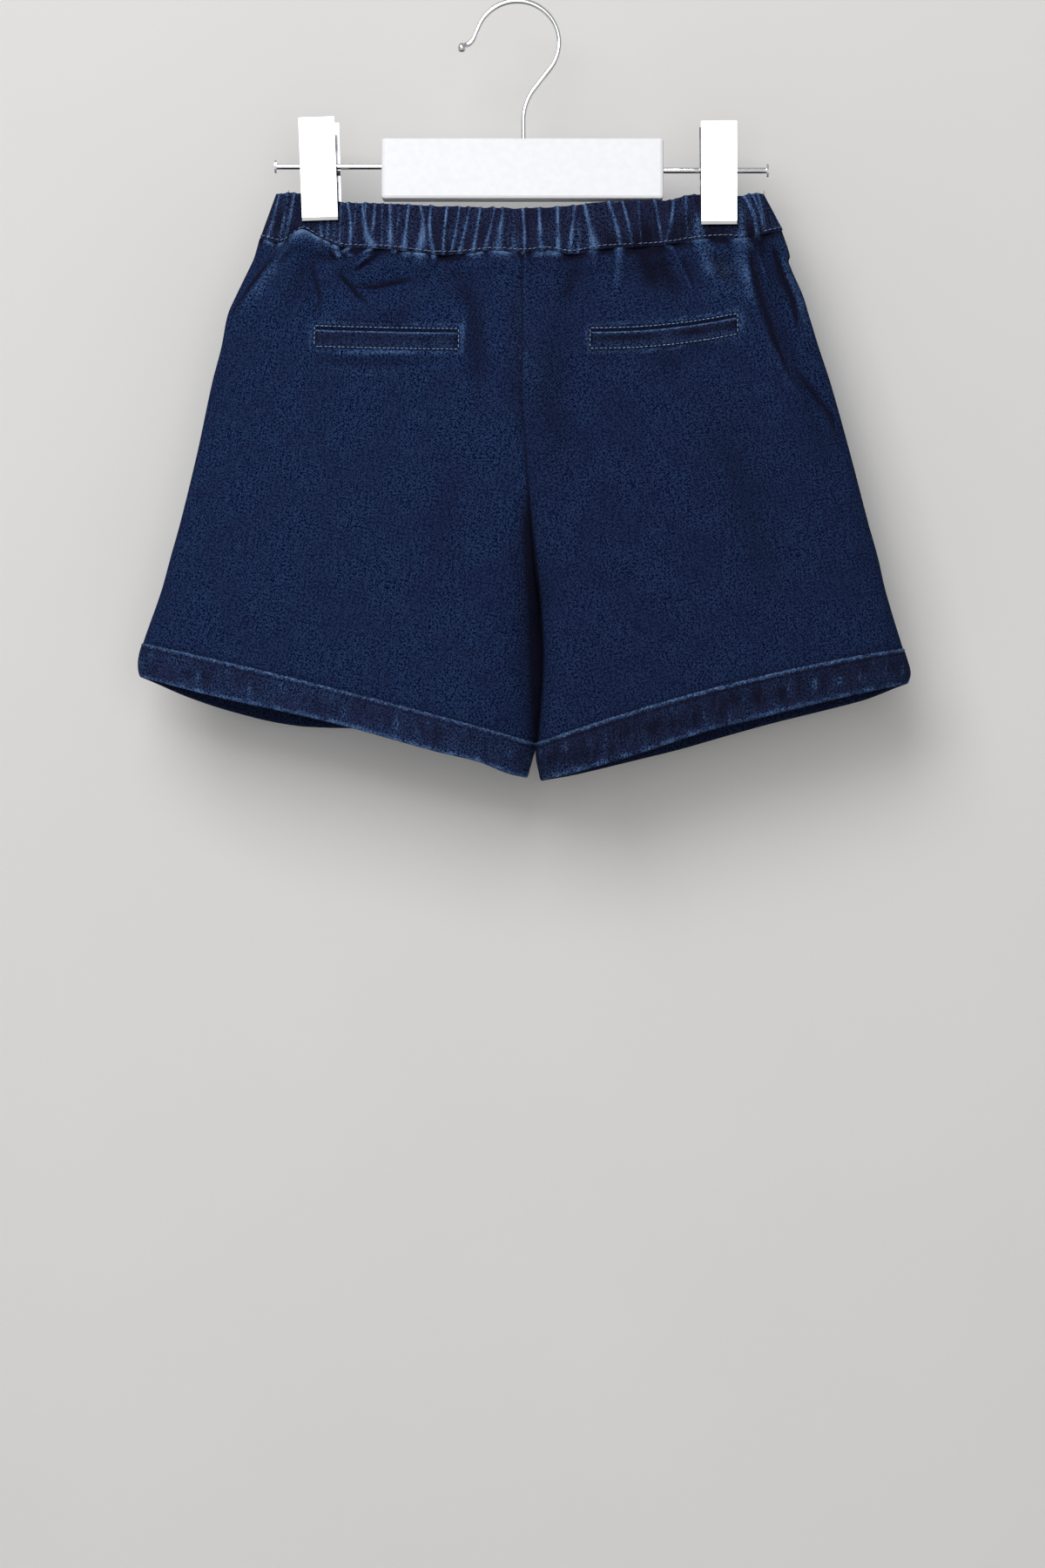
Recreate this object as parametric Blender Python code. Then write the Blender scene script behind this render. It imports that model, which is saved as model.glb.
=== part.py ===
"""Denim shorts with a gathered elastic waistband, hung by two clips on a hanger.

Sizes are in millimetres and become metres when a mesh is made. +X is to the right of somebody who
looks at the back of the shorts, +Y goes away from them, through the back and then the front, and +Z
is up. The origin is the underside of the hook's bend, where a rail carries the hanger.

The cloth is described in the garment's own frame: x from the centre back seam, and drop, which is
the distance below the middle of the waistband's top edge.
"""

import math

import bmesh
import bpy
from mathutils import Matrix, Vector

MM = 0.001
SEAM_GAP = 0.3  # between two pieces that are sewn or seated together

# ---------------------------------------------------------------- hanger
WIRE_R = 1.5
HOOK_BEND_R = 24.0  # centre line of the hook's bend
HOOK_BALL_R = 2.6
HOOK_LEAVES, HOOK_ARRIVES = -38.0, 157.0  # angles of the bend's two ends, in degrees
HOOK_NECK_R, HOOK_STEM_X = 30.0, 3.5
HOOK_TIP_RUN, HOOK_TIP_TURN = 7.4, 38.0
CENTRE_X = 3.0  # the block and the shorts hang a little to the right of the bend
BLOCK_LONG, BLOCK_DEEP, BLOCK_TALL = 161.5, 15.0, 34.8
BLOCK_TOP_Z = -78.3
BLOCK_EDGE_R = 1.8
STEM_SEAT = 12.0  # how far the stem goes into the block
ROD_R = 1.65
ROD_SEAT = 18.0  # how far each rod goes into the block
ROD_HEAD_R, ROD_HEAD_LONG = 3.7, 1.4
CLIP_WIDE, CLIP_UP, CLIP_DOWN = 20.4, 26.6, 32.4  # measured from the rod
CLIP_SHEET = 1.2  # steel thickness
CLIP_TOP_Y, CLIP_FOOT_Y, JAW_Y = 11.5, 6.8, 4.3  # outer faces and the jaw's tip, from the mid plane
CLIP_HOLE_R = 2.1
EAR_R = 5.0
SPRING_R, SPRING_LONG = 3.3, 9.0

# One rod and one clip on each side of the block.
RODS = (
    # name, way, height of its axis, x of its outer end
    ("left", -1, -93.7, -139.5),
    ("right", 1, -95.9, 144.5),
)
CLIPS = (
    # name, x of its middle, height of the rod, lean in degrees, shift of its front plate
    ("left", -114.0, -93.7, -1.9, 1.8),
    ("right", 115.4, -95.9, -0.4, 0.0),
)

# ---------------------------------------------------------------- garment
GARMENT_X, GARMENT_TOP_Z = CENTRE_X, -117.6
CLOTH = 1.2  # denim wall of the panels
BAND_WALL = 2.8  # two layers of denim and the elastic
HEM_WALL = 2.4  # the cloth turned up twice
HEM_PROUD = 0.5
HEM_CLEAR = 0.42  # between a panel and its hem
SIDE_GAP = 0.15  # half of the gap at the side seam, the centre seam and the inseam

# Widths from the centre line to the side folds, by drop.
OUTLINE = (
    # drop, left, right
    (5.0, 147.5, 146.0),
    (17.5, 151.0, 150.5),
    (27.5, 153.8, 153.6),
    (31.0, 155.2, 152.9),
    (50.0, 164.4, 161.0),
    (61.0, 169.2, 164.4),
    (80.0, 173.0, 170.2),
    (100.0, 178.2, 176.8),
    (140.0, 186.7, 188.0),
    (180.0, 196.4, 198.4),
    (200.0, 202.0, 204.0),
    (220.0, 207.5, 208.6),
    (250.0, 218.0, 217.6),
    (260.0, 220.4, 220.8),
    (267.0, 219.8, 222.4),
    (275.0, 216.0, 220.0),
)

# Where the centre seam runs above the crotch, and where each leg's inner fold runs below it. The left
# leg reaches a little way behind the right one.
INNER_LINE = (
    # drop, left, right
    (28.0, 0.0, 0.0),
    (92.0, -0.8, -0.8),
    (124.0, 0.0, 0.0),
    (160.0, 3.2, 3.2),
    (183.0, 4.8, 4.8),
    (208.0, 7.0, 7.0),
    (226.0, 9.6, 9.6),
    (237.0, 10.8, 10.8),
    (254.0, 13.8, 11.5),
    (269.0, 14.0, 11.2),
    (286.0, 12.4, 10.2),
    (306.0, 9.0, 8.6),
    (314.0, 6.0, 8.0),
    (330.0, 1.6, 11.0),
)
CROTCH_DROP = 226.0
CREASE_START = 108.0  # the seat's crease begins here and is full depth at the crotch
INSEAM_Y = {-1: 5.0, 1: -7.0}  # the left leg's inseam lies behind, the right one's in front
INSEAM_TURN = 18.0  # below the crotch, how far it takes to get there

# How far the walls stand from the mid plane at their fullest.
DEPTHS = (
    # drop, back, front
    (20.0, 9.0, 9.0),
    (60.0, 14.0, 13.0),
    (120.0, 18.0, 17.0),
    (180.0, 20.5, 20.0),
    (226.0, 21.0, 22.0),
    (275.0, 21.0, 24.0),
    (330.0, 20.0, 24.0),
)
BODY_ROUND = 4.0  # exponent of the body's section: flat in the middle, round at the sides
LEG_ROUND_SIDE = 3.0
# The leg that lies in front turns in sharply and the other one softly, on the back and on the front.
LEG_ROUND_INNER = {(-1, -1): 4.0, (1, -1): 8.0, (-1, 1): 8.0, (1, 1): 4.0}  # (side, face)

# The waistband, from one side fold to the other.
WAIST = (
    # x, drop of the top edge, drop of the seam, stand-off from the mid plane
    (-151.0, -8.0, 17.4, 5.6),
    (-138.0, -8.2, 20.6, 6.0),
    (-130.0, -8.0, 14.4, 3.2),
    (-125.5, -7.4, 12.6, 3.2),
    (-117.0, -6.0, 17.0, 3.2),
    (-104.0, -3.2, 22.4, 3.2),
    (-95.0, -2.4, 23.4, 6.0),
    (-75.0, -1.4, 24.6, 8.2),
    (-46.0, 0.0, 28.0, 9.2),
    (-16.0, 0.8, 25.4, 9.5),
    (0.0, 1.0, 26.4, 9.5),
    (14.0, 0.6, 25.2, 9.5),
    (28.0, -0.4, 27.4, 9.2),
    (44.0, -1.8, 24.4, 9.0),
    (66.0, -3.4, 23.2, 8.2),
    (82.0, -4.0, 21.8, 7.2),
    (92.0, -6.0, 20.0, 6.0),
    (101.0, -7.8, 18.4, 3.2),
    (113.0, -8.4, 17.4, 3.2),
    (125.5, -7.0, 17.6, 3.2),
    (134.0, -7.6, 16.6, 5.4),
    (150.0, -8.2, 12.2, 5.6),
)
BAND_ENDS_TOP = (-141.5, 138.5)
BAND_ENDS_SEAM = (-150.8, 149.5)
BAND_END_ROUND = 10.0
BAND_EDGE_PULL = 1.0  # the top fold and the stitched seam lie lower than the band between them
SEAM_CLEAR = 0.8  # below the band, where the gathered edge is uneven

# The gathers of the back waistband: ridges, each with its place at the top edge and at the seam.
BACK_GATHERS = (
    # x at top, x at seam, height
    (-138.5, -146.0, 0.7),
    (-134.5, -142.0, 1.0),
    (-130.5, -137.0, 1.1),
    (-126.0, -131.0, 0.4),
    (-121.5, -123.5, 0.5),
    (-116.5, -116.5, 0.5),
    (-111.0, -111.0, 0.5),
    (-105.0, -105.5, 0.5),
    (-100.0, -99.0, 1.0),
    (-95.5, -94.5, 0.8),
    (-90.0, -88.5, 1.4),
    (-85.0, -84.5, 1.2),
    (-80.0, -80.0, 1.3),
    (-75.5, -75.5, 1.5),
    (-71.0, -71.5, 0.7),
    (-65.0, -67.5, 1.4),
    (-58.2, -58.2, 1.6),
    (-52.6, -51.0, 1.5),
    (-43.2, -46.0, 1.5),
    (-37.0, -40.5, 1.4),
    (-31.0, -35.5, 1.4),
    (-24.0, -28.0, 1.4),
    (-17.0, -21.5, 1.3),
    (-11.5, -14.5, 1.2),
    (2.2, 2.2, 1.5),
    (10.0, 10.5, 1.4),
    (19.5, 20.5, 1.4),
    (29.5, 26.6, 1.3),
    (36.0, 41.0, 1.4),
    (49.5, 55.5, 1.3),
    (57.3, 62.3, 1.3),
    (65.5, 69.0, 1.0),
    (74.5, 76.0, 1.3),
    (84.5, 82.5, 1.3),
    (93.0, 93.5, 1.0),
    (98.5, 99.0, 0.9),
    (106.0, 106.0, 0.5),
    (113.0, 113.0, 0.5),
    (119.0, 119.5, 0.5),
    (124.5, 126.5, 0.4),
    (129.5, 132.5, 1.1),
    (134.0, 138.5, 1.0),
)
FRONT_GATHER_COUNT = 40
GATHER_HALF_WIDE = 2.0

# Folds of the panels. Each is a ridge, or a trough where the height is negative, along a straight
# line, with its own softness on either side.
BACK_FOLDS = (
    # x, drop at its head, x, drop at its foot, softness left, softness right, height
    (-127.0, 10.0, -168.0, 62.0, 3.5, 22.0, 4.0),
    (-122.0, 22.0, -116.0, 62.0, 7.0, 6.0, -2.2),
    (-107.0, 34.0, -90.0, 60.0, 5.0, 5.0, -1.8),
    (-92.0, 46.0, -60.0, 42.0, 5.0, 6.0, -1.6),
    (-58.0, 26.0, -66.0, 60.0, 8.0, 8.0, 1.2),
    (50.0, 24.0, 22.0, 84.0, 9.0, 9.0, -1.3),
    (104.0, 18.0, 114.0, 60.0, 7.0, 9.0, 1.8),
    (128.0, 18.0, 180.0, 170.0, 22.0, 6.0, 3.4),
    (134.0, 22.0, 186.0, 176.0, 4.5, 9.0, -2.6),
    (146.0, 14.0, 168.0, 96.0, 5.0, 9.0, 2.4),
    (0.0, 150.0, 8.0, 222.0, 14.0, 7.0, -1.5),
)
FRONT_FOLDS = (
    (126.0, 14.0, 166.0, 72.0, 22.0, 4.0, 3.4),
    (118.0, 22.0, 104.0, 74.0, 7.0, 7.0, -2.0),
    (84.0, 24.0, 72.0, 78.0, 8.0, 8.0, 1.6),
    (40.0, 26.0, 46.0, 92.0, 9.0, 9.0, -1.3),
    (-30.0, 26.0, -22.0, 88.0, 8.0, 9.0, 1.4),
    (-76.0, 24.0, -66.0, 78.0, 8.0, 8.0, -1.6),
    (-110.0, 18.0, -124.0, 84.0, 8.0, 8.0, 2.0),
    (-132.0, 20.0, -184.0, 172.0, 6.0, 22.0, 3.0),
    (0.0, 150.0, 8.0, 222.0, 9.0, 9.0, -1.5),
)
FOLDS = {-1: BACK_FOLDS, 1: FRONT_FOLDS}
PUCKER_HIGH, PUCKER_LONG, PUCKER_FADE = 1.1, 19.0, 13.0  # the gathers' run-out below the seam

# Hems. The seam above the hem slopes from the side fold down to the inner corner, and is arched.
HEM_SIDE_DROP, HEM_INNER_DROP = {-1: 249.5, 1: 252.5}, {-1: 307.0, 1: 306.5}
HEM_ARCH = {-1: 1.8, 1: 5.2}
HEM_TALL = {
    # share of the way to the inseam, height
    -1: ((0.0, 20.0), (0.2, 21.0), (0.5, 19.3), (0.76, 19.8), (0.88, 18.8), (0.95, 20.6), (1.0, 20.0)),
    1: ((0.0, 20.8), (0.15, 21.8), (0.4, 23.4), (0.56, 23.4), (0.72, 25.0), (0.9, 24.4), (1.0, 22.2)),
}
# How much lower the front hem hangs than the back one, by the same share.
FRONT_HANGS = {
    -1: ((0.0, 0.0), (0.12, 4.4), (0.3, 7.0), (0.4, 6.2), (0.48, 3.2), (0.56, -0.5), (0.75, -2.5), (1.0, 0.0)),
    1: ((0.0, 0.0), (0.12, 4.3), (0.4, 5.0), (0.58, 6.0), (0.72, 3.6), (0.9, 1.2), (1.0, 0.0)),
}

# Welt pockets on the back: inner ends nearest the centre seam.
POCKETS = (
    # name, x and drop of the left end, x and drop of the right end, sag of the middle
    ("left", -118.1, 80.3, -37.2, 82.2, 0.3),
    ("right", 39.2, 81.7, 122.1, 73.3, 2.3),
)
WELT_TALL, WELT_THICK = 9.2, 1.2

COLUMNS, PANEL_ROWS, HEM_ROWS = 28, 15, 2


# ---------------------------------------------------------------- curves and blends
def smooth(table, column, at):
    """A smooth curve through one column of a table whose first column is the place."""
    if at <= table[0][0]:
        return table[0][column]
    if at >= table[-1][0]:
        return table[-1][column]
    i = max(k for k in range(len(table) - 1) if table[k][0] <= at)

    def slope(k):
        before, after = table[max(k - 1, 0)], table[min(k + 1, len(table) - 1)]
        return (after[column] - before[column]) / (after[0] - before[0])

    a, b = table[i], table[i + 1]
    span = b[0] - a[0]
    t = (at - a[0]) / span
    return (
        (2 * t**3 - 3 * t**2 + 1) * a[column]
        + (t**3 - 2 * t**2 + t) * span * slope(i)
        + (3 * t**2 - 2 * t**3) * b[column]
        + (t**3 - t**2) * span * slope(i + 1)
    )


def ease(at, start, end):
    """0 before start, 1 after end, and an S-curve in between."""
    t = min(max((at - start) / (end - start), 0.0), 1.0)
    return t * t * (3 - 2 * t)


def mix(a, b, t):
    return a + (b - a) * t


# ---------------------------------------------------------------- the cloth's form
def side_x(side, drop):
    return side * smooth(OUTLINE, 1 if side < 0 else 2, drop)


def leg_share(drop):
    """0 where front and back are one body, 1 from the crotch down, where each leg is a tube."""
    t = (drop - CREASE_START) / (CROTCH_DROP - CREASE_START)
    return min(max(t, 0.0), 1.0) ** 3


def inner_x(side, drop):
    """The centre seam, or below the crotch the inseam's fold, as one side's panel has it."""
    return smooth(INNER_LINE, 1 if side < 0 else 2, drop) + side * SIDE_GAP


def mid_y(side, across, drop):
    """The surface between front and back: the mid plane, but shifted at the inseams."""
    return INSEAM_Y[side] * ease(drop, CROTCH_DROP, CROTCH_DROP + INSEAM_TURN) * ease(across, 0.8, 1.0)


def hem_seam_drop(side, face, across):
    """The line along which panel and hem meet. across is 0 at the side fold and 1 at the inseam."""
    straight = mix(HEM_SIDE_DROP[side], HEM_INNER_DROP[side], across)
    lower = smooth(FRONT_HANGS[side], 1, across) if face > 0 else 0.0
    return straight - HEM_ARCH[side] * 4 * across * (1 - across) + lower


def band_end_share(x):
    """0 at the waistband's side folds and 1 a little way in: the quarter round of the fold."""
    low, high = BAND_ENDS_SEAM
    inside = min(x - low, high - x)
    t = min(max(inside / BAND_END_ROUND, 0.0), 1.0)
    return math.sqrt(1 - (1 - t) ** 2)


def waist_standoff(x):
    return smooth(WAIST, 3, x) * band_end_share(x)


def body_section(across):
    return math.sqrt(max(1 - (1 - across) ** BODY_ROUND, 0.0))


def leg_section(side, face, across):
    power = LEG_ROUND_SIDE if across < 0.5 else LEG_ROUND_INNER[(side, face)]
    return math.sqrt(max(1 - abs(1 - 2 * across) ** power, 0.0))


def fold_height(face, x, drop):
    """All folds of one face at a place, outwards."""
    total = 0.0
    for x0, drop0, x1, drop1, soft_left, soft_right, height in FOLDS[face]:
        long_x, long_drop = x1 - x0, drop1 - drop0
        length = math.hypot(long_x, long_drop)
        along = ((x - x0) * long_x + (drop - drop0) * long_drop) / length
        off = ((x - x0) * long_drop - (drop - drop0) * long_x) / length
        off *= 1 if long_drop >= 0 else -1
        soft = soft_left if off < 0 else soft_right
        lasts = ease(along, -8.0, 6.0) * (1 - ease(along, 0.55 * length, length + 12.0))
        total += height * lasts * math.exp(-((off / soft) ** 2))
    return total


def pucker(x, below_seam):
    return PUCKER_HIGH * math.cos(2 * math.pi * x / PUCKER_LONG) * math.exp(-below_seam / PUCKER_FADE)


def wall_place(side, face, across, down):
    """A place on a panel: across 0 to 1 from side to centre, down 0 to 1 from waist to hem.

    Returns x, drop, how far it is below the waist seam, and the x of the seam above it.
    """
    end = BAND_ENDS_SEAM[0 if side < 0 else 1]
    seam_x = mix(end, smooth(INNER_LINE, 1, 0), across)

    def drop_at(share, x):
        top = smooth(WAIST, 2, x) + SEAM_CLEAR
        return top, mix(top, hem_seam_drop(side, face, share) - HEM_CLEAR, down)

    top, drop = drop_at(across, seam_x)
    x = mix(side_x(side, drop_at(0.0, end)[1]), inner_x(side, drop_at(1.0, 0.0)[1]), across)
    return x, drop, drop - top, seam_x


def wall_point(side, face, across, down):
    """The outer surface of a panel, in the garment's frame: (x, y, drop)."""
    x, drop, below_seam, seam_x = wall_place(side, face, across, down)
    legs = leg_share(drop)
    fullness = smooth(DEPTHS, 1 if face < 0 else 2, drop)
    body = mix(body_section(across), leg_section(side, face, across), legs) * fullness
    puff = 1.6 * math.sin(math.pi * ease(below_seam, 0.0, 16.0)) - BAND_EDGE_PULL
    waist = waist_standoff(seam_x) + (puff + pucker(x, below_seam)) * band_end_share(seam_x)
    stand = mix(waist, body, ease(below_seam, 0.0, 55.0))
    at_side = ease(across, 0.0, 0.06)
    at_inner = 1 - legs * (1 - ease(1 - across, 0.0, 0.1))
    stand += fold_height(face, x, drop) * at_side * at_inner
    return Vector((x, mid_y(side, across, drop) + face * max(stand, SIDE_GAP), drop))


def spread(steps):
    """Shares from 0 to 1 that crowd towards both ends, where the wall turns round a fold."""
    return [(1 - math.cos(math.pi * i / steps)) / 2 for i in range(steps + 1)]


def panel_rows(steps):
    """Shares from waist to hem, closer together in the gathers."""
    return [mix((i / steps) ** 1.9, i / steps, 0.62) for i in range(steps + 1)]


# ---------------------------------------------------------------- meshes
def to_world(point):
    """The garment's (x, y, drop) in millimetres to the part's frame in metres."""
    return Vector((point[0] + GARMENT_X, point[1], GARMENT_TOP_Z - point[2])) * MM


def material(name, colour, roughness, metallic=0.0):
    made = bpy.data.materials.get(name) or bpy.data.materials.new(name)
    made.use_nodes = True
    shader = made.node_tree.nodes["Principled BSDF"]
    shader.inputs["Base Color"].default_value = (*colour, 1.0)
    shader.inputs["Roughness"].default_value = roughness
    shader.inputs["Metallic"].default_value = metallic
    return made


def add_object(name, mesh_data, look):
    made = bpy.data.objects.new(name, mesh_data)
    bpy.context.scene.collection.objects.link(made)
    mesh_data.materials.append(look)
    return made


def object_from_faces(name, points, faces, look, smooth_angle=50):
    mesh = bpy.data.meshes.new(name)
    shape = bmesh.new()
    verts = [shape.verts.new(p) for p in points]
    for face in faces:
        shape.faces.new([verts[i] for i in face])
    bmesh.ops.recalc_face_normals(shape, faces=shape.faces)
    shape.to_mesh(mesh)
    shape.free()
    mesh.shade_smooth()
    mesh.set_sharp_from_angle(angle=math.radians(smooth_angle))
    return add_object(name, mesh, look)


def inward(grid, face, closed):
    """Unit vectors from a grid of outer points to the inside, by its rows' and columns' directions."""
    rows, columns = len(grid), len(grid[0])
    found = []
    for j in range(rows):
        line = []
        for i in range(columns):
            if closed:
                before, after = grid[j][(i - 1) % columns], grid[j][(i + 1) % columns]
            else:
                before, after = grid[j][max(i - 1, 0)], grid[j][min(i + 1, columns - 1)]
            along = after - before
            down = grid[min(j + 1, rows - 1)][i] - grid[max(j - 1, 0)][i]
            line.append(along.cross(down).normalized() * face)
        found.append(line)
    return found


def thick_sheet(name, outer, inner, look, closed=False):
    """A closed solid between two grids of the same size: an open sheet, or a tube if closed."""
    rows, columns = len(outer), len(outer[0])
    points = [to_world(p) for row in outer for p in row] + [to_world(p) for row in inner for p in row]
    inside = rows * columns

    def at(j, i, layer):
        return layer * inside + j * columns + i % columns

    faces = []
    for j in range(rows - 1):
        for i in range(columns if closed else columns - 1):
            faces.append((at(j, i, 0), at(j, i + 1, 0), at(j + 1, i + 1, 0), at(j + 1, i, 0)))
            faces.append((at(j, i, 1), at(j + 1, i, 1), at(j + 1, i + 1, 1), at(j, i + 1, 1)))
    for j in (0, rows - 1):
        for i in range(columns if closed else columns - 1):
            faces.append((at(j, i, 0), at(j, i, 1), at(j, i + 1, 1), at(j, i + 1, 0)))
    if not closed:
        for i in (0, columns - 1):
            for j in range(rows - 1):
                faces.append((at(j, i, 0), at(j + 1, i, 0), at(j + 1, i, 1), at(j, i, 1)))
    return object_from_faces(name, points, faces, look)


def inner_layer(outer, ways, thickness, face, mid):
    """The inner points of a wall. They stay on their own side of mid, so that front and back stay apart."""
    layer = []
    for row, line in zip(outer, ways):
        moved = []
        for i, (point, way) in enumerate(zip(row, line)):
            p = point + way * thickness
            between = mid(i, p.z)
            moved.append(Vector((p.x, between + face * max(face * (p.y - between), SIDE_GAP), p.z)))
        layer.append(moved)
    return layer


# ---------------------------------------------------------------- garment pieces
def make_panel(name, side, face, look):
    shares = spread(COLUMNS)
    outer = [[wall_point(side, face, a, d) for a in shares] for d in panel_rows(PANEL_ROWS)]
    ways = inward(outer, -side * face, False)
    inner = inner_layer(outer, ways, CLOTH, face, lambda i, drop: mid_y(side, shares[i], drop))
    return thick_sheet(name, outer, inner, look)


def gathers(face):
    """Rows of (x at top, x at seam, height) of one face's gathers, from left to right."""
    if face < 0:
        return list(BACK_GATHERS)
    first, last = -138.0, 134.5
    rows = []
    for i in range(FRONT_GATHER_COUNT):
        x = mix(first, last, i / (FRONT_GATHER_COUNT - 1)) + 1.3 * math.sin(2.4 * i)
        lean = 1.8 * math.sin(1.7 * i) + 0.04 * x
        clipped = min(abs(x + 117), abs(x - 113)) < 15
        rows.append((x, x + lean, 0.5 if clipped else 1.2 + 0.3 * math.sin(3.1 * i)))
    return rows


def band_columns(side, face):
    """(x at top, x at seam, lift) of half a waistband's columns: each gather is a foot, a crest, a foot."""
    ridges = gathers(face)
    columns = []
    for i, (top, seam, height) in enumerate(ridges):
        beside = ridges[max(i - 1, 0) : i] + ridges[i + 1 : i + 2]
        nearest = min(min(abs(r[0] - top), abs(r[1] - seam)) for r in beside)
        half = min(GATHER_HALF_WIDE, 0.44 * nearest)
        columns += [(top - half, seam - half, 0.0), (top, seam, height), (top + half, seam + half, 0.0)]
    top_end, seam_end = (ends[0 if side < 0 else 1] for ends in (BAND_ENDS_TOP, BAND_ENDS_SEAM))
    fold = [(top_end - side * t, seam_end - side * t, 0.0) for t in (0.0, 0.4, 1.2, 2.4)]
    join = [(side * SIDE_GAP, side * SIDE_GAP, 0.0)]
    kept = [
        c
        for c in columns
        if 0.3 < side * c[0] < abs(fold[-1][0]) - 0.3 and 0.3 < side * c[1] < abs(fold[-1][1]) - 0.3
    ]
    return sorted(fold + kept + join)


BAND_LEVELS = ((0.0, 1.0), (0.1, 0.0), (0.86, 0.0), (1.0, 1.0))  # share of the way down, share pulled in


def band_point(face, column, level, pulled, lift_share):
    top_x, seam_x, lift = column
    x = mix(top_x, seam_x, level)
    drop = mix(smooth(WAIST, 1, seam_x), smooth(WAIST, 2, seam_x), level)
    stand = waist_standoff(seam_x)
    rounded = band_end_share(seam_x)
    stand += (lift_share * lift - pulled * BAND_EDGE_PULL) * rounded
    return Vector((x, face * max(stand, SIDE_GAP), drop))


def make_waistband(name, side, face, look):
    columns = band_columns(side, face)
    outer, plain = (
        [[band_point(face, c, level, pulled, share) for c in columns] for level, pulled in BAND_LEVELS]
        for share in (1.0, 0.0)
    )
    inner = inner_layer(plain, inward(plain, face, False), BAND_WALL, face, lambda i, drop: 0.0)
    return thick_sheet(name, outer, inner, look)


def hem_point(side, face, across, down):
    """The outer surface of a hem: down is 0 at its seam and 1 at the leg's edge."""

    def drop_at(share):
        return hem_seam_drop(side, face, share) + smooth(HEM_TALL[side], 1, share) * down

    drop = drop_at(across)
    x = mix(side_x(side, drop_at(0.0)), inner_x(side, drop_at(1.0)), across)
    stand = leg_section(side, face, across) * smooth(DEPTHS, 1 if face < 0 else 2, drop)
    return Vector((x, mid_y(side, across, drop) + face * stand, drop))


def make_hem(name, side, look):
    """A tube round one leg: along the back from side to inseam, and along the front to the side again."""
    there = spread(COLUMNS)
    round_leg = [(-1, a) for a in there] + [(1, a) for a in reversed(there[1:-1])]
    grid = [
        [hem_point(side, face, a, j / HEM_ROWS) for face, a in round_leg]
        for j in range(HEM_ROWS + 1)
    ]
    ways = inward(grid, side, True)
    outer = [[p - way * HEM_PROUD for p, way in zip(row, line)] for row, line in zip(grid, ways)]
    inner = [
        [p + way * (HEM_WALL - HEM_PROUD) for p, way in zip(row, line)]
        for row, line in zip(grid, ways)
    ]
    return thick_sheet(name, outer, inner, look, closed=True)


def panel_place_of(side, face, x, drop):
    """The (across, down) of a place given by x and drop, found by halving one and then the other."""
    across, down = 0.5, 0.5
    for _ in range(8):
        low, high = 0.0, 1.0
        for _ in range(20):
            across = (low + high) / 2
            beyond = side * (wall_place(side, face, across, down)[0] - x) > 0
            low, high = (across, high) if beyond else (low, across)
        low, high = 0.0, 1.0
        for _ in range(20):
            down = (low + high) / 2
            low, high = (down, high) if wall_place(side, face, across, down)[1] < drop else (low, down)
    return across, down


def make_welt(name, side, pocket, look):
    """The pocket's welt: a strip made from the panel's own points, moved out."""
    _, x0, drop0, x1, drop1, sag = pocket
    columns, rows = 14, 2
    outer, inner = [], []
    for j in range(rows + 1):
        far, near = [], []
        for i in range(columns + 1):
            t = i / columns
            x = mix(x0, x1, t)
            drop = mix(drop0, drop1, t) + sag * 4 * t * (1 - t) - WELT_TALL * (1 - j / rows)
            stand = wall_point(side, -1, *panel_place_of(side, -1, x, drop)).y
            near.append(Vector((x, stand - SEAM_GAP - 0.15, drop)))
            far.append(Vector((x, stand - SEAM_GAP - 0.15 - WELT_THICK, drop)))
        outer.append(far)
        inner.append(near)
    return thick_sheet(name, outer, inner, look)


# ---------------------------------------------------------------- hanger pieces
def swept(name, path, radii, look, sides=10):
    """A round bar along a path in the XZ plane, its radius given at each point."""
    points, faces = [], []
    for i, (x, z) in enumerate(path):
        before, after = path[max(i - 1, 0)], path[min(i + 1, len(path) - 1)]
        along = Vector((after[0] - before[0], 0, after[1] - before[1])).normalized()
        side = Vector((0, 1, 0))
        up = along.cross(side)
        for k in range(sides):
            turn = 2 * math.pi * k / sides
            offset = (side * math.cos(turn) + up * math.sin(turn)) * radii[i]
            points.append((Vector((x, 0, z)) + offset) * MM)
    for i in range(len(path) - 1):
        for k in range(sides):
            a, b = i * sides + k, i * sides + (k + 1) % sides
            faces.append((a, b, b + sides, a + sides))
    faces.append(tuple(range(sides)))
    faces.append(tuple((len(path) - 1) * sides + k for k in range(sides)))
    return object_from_faces(name, points, faces, look)


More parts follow.
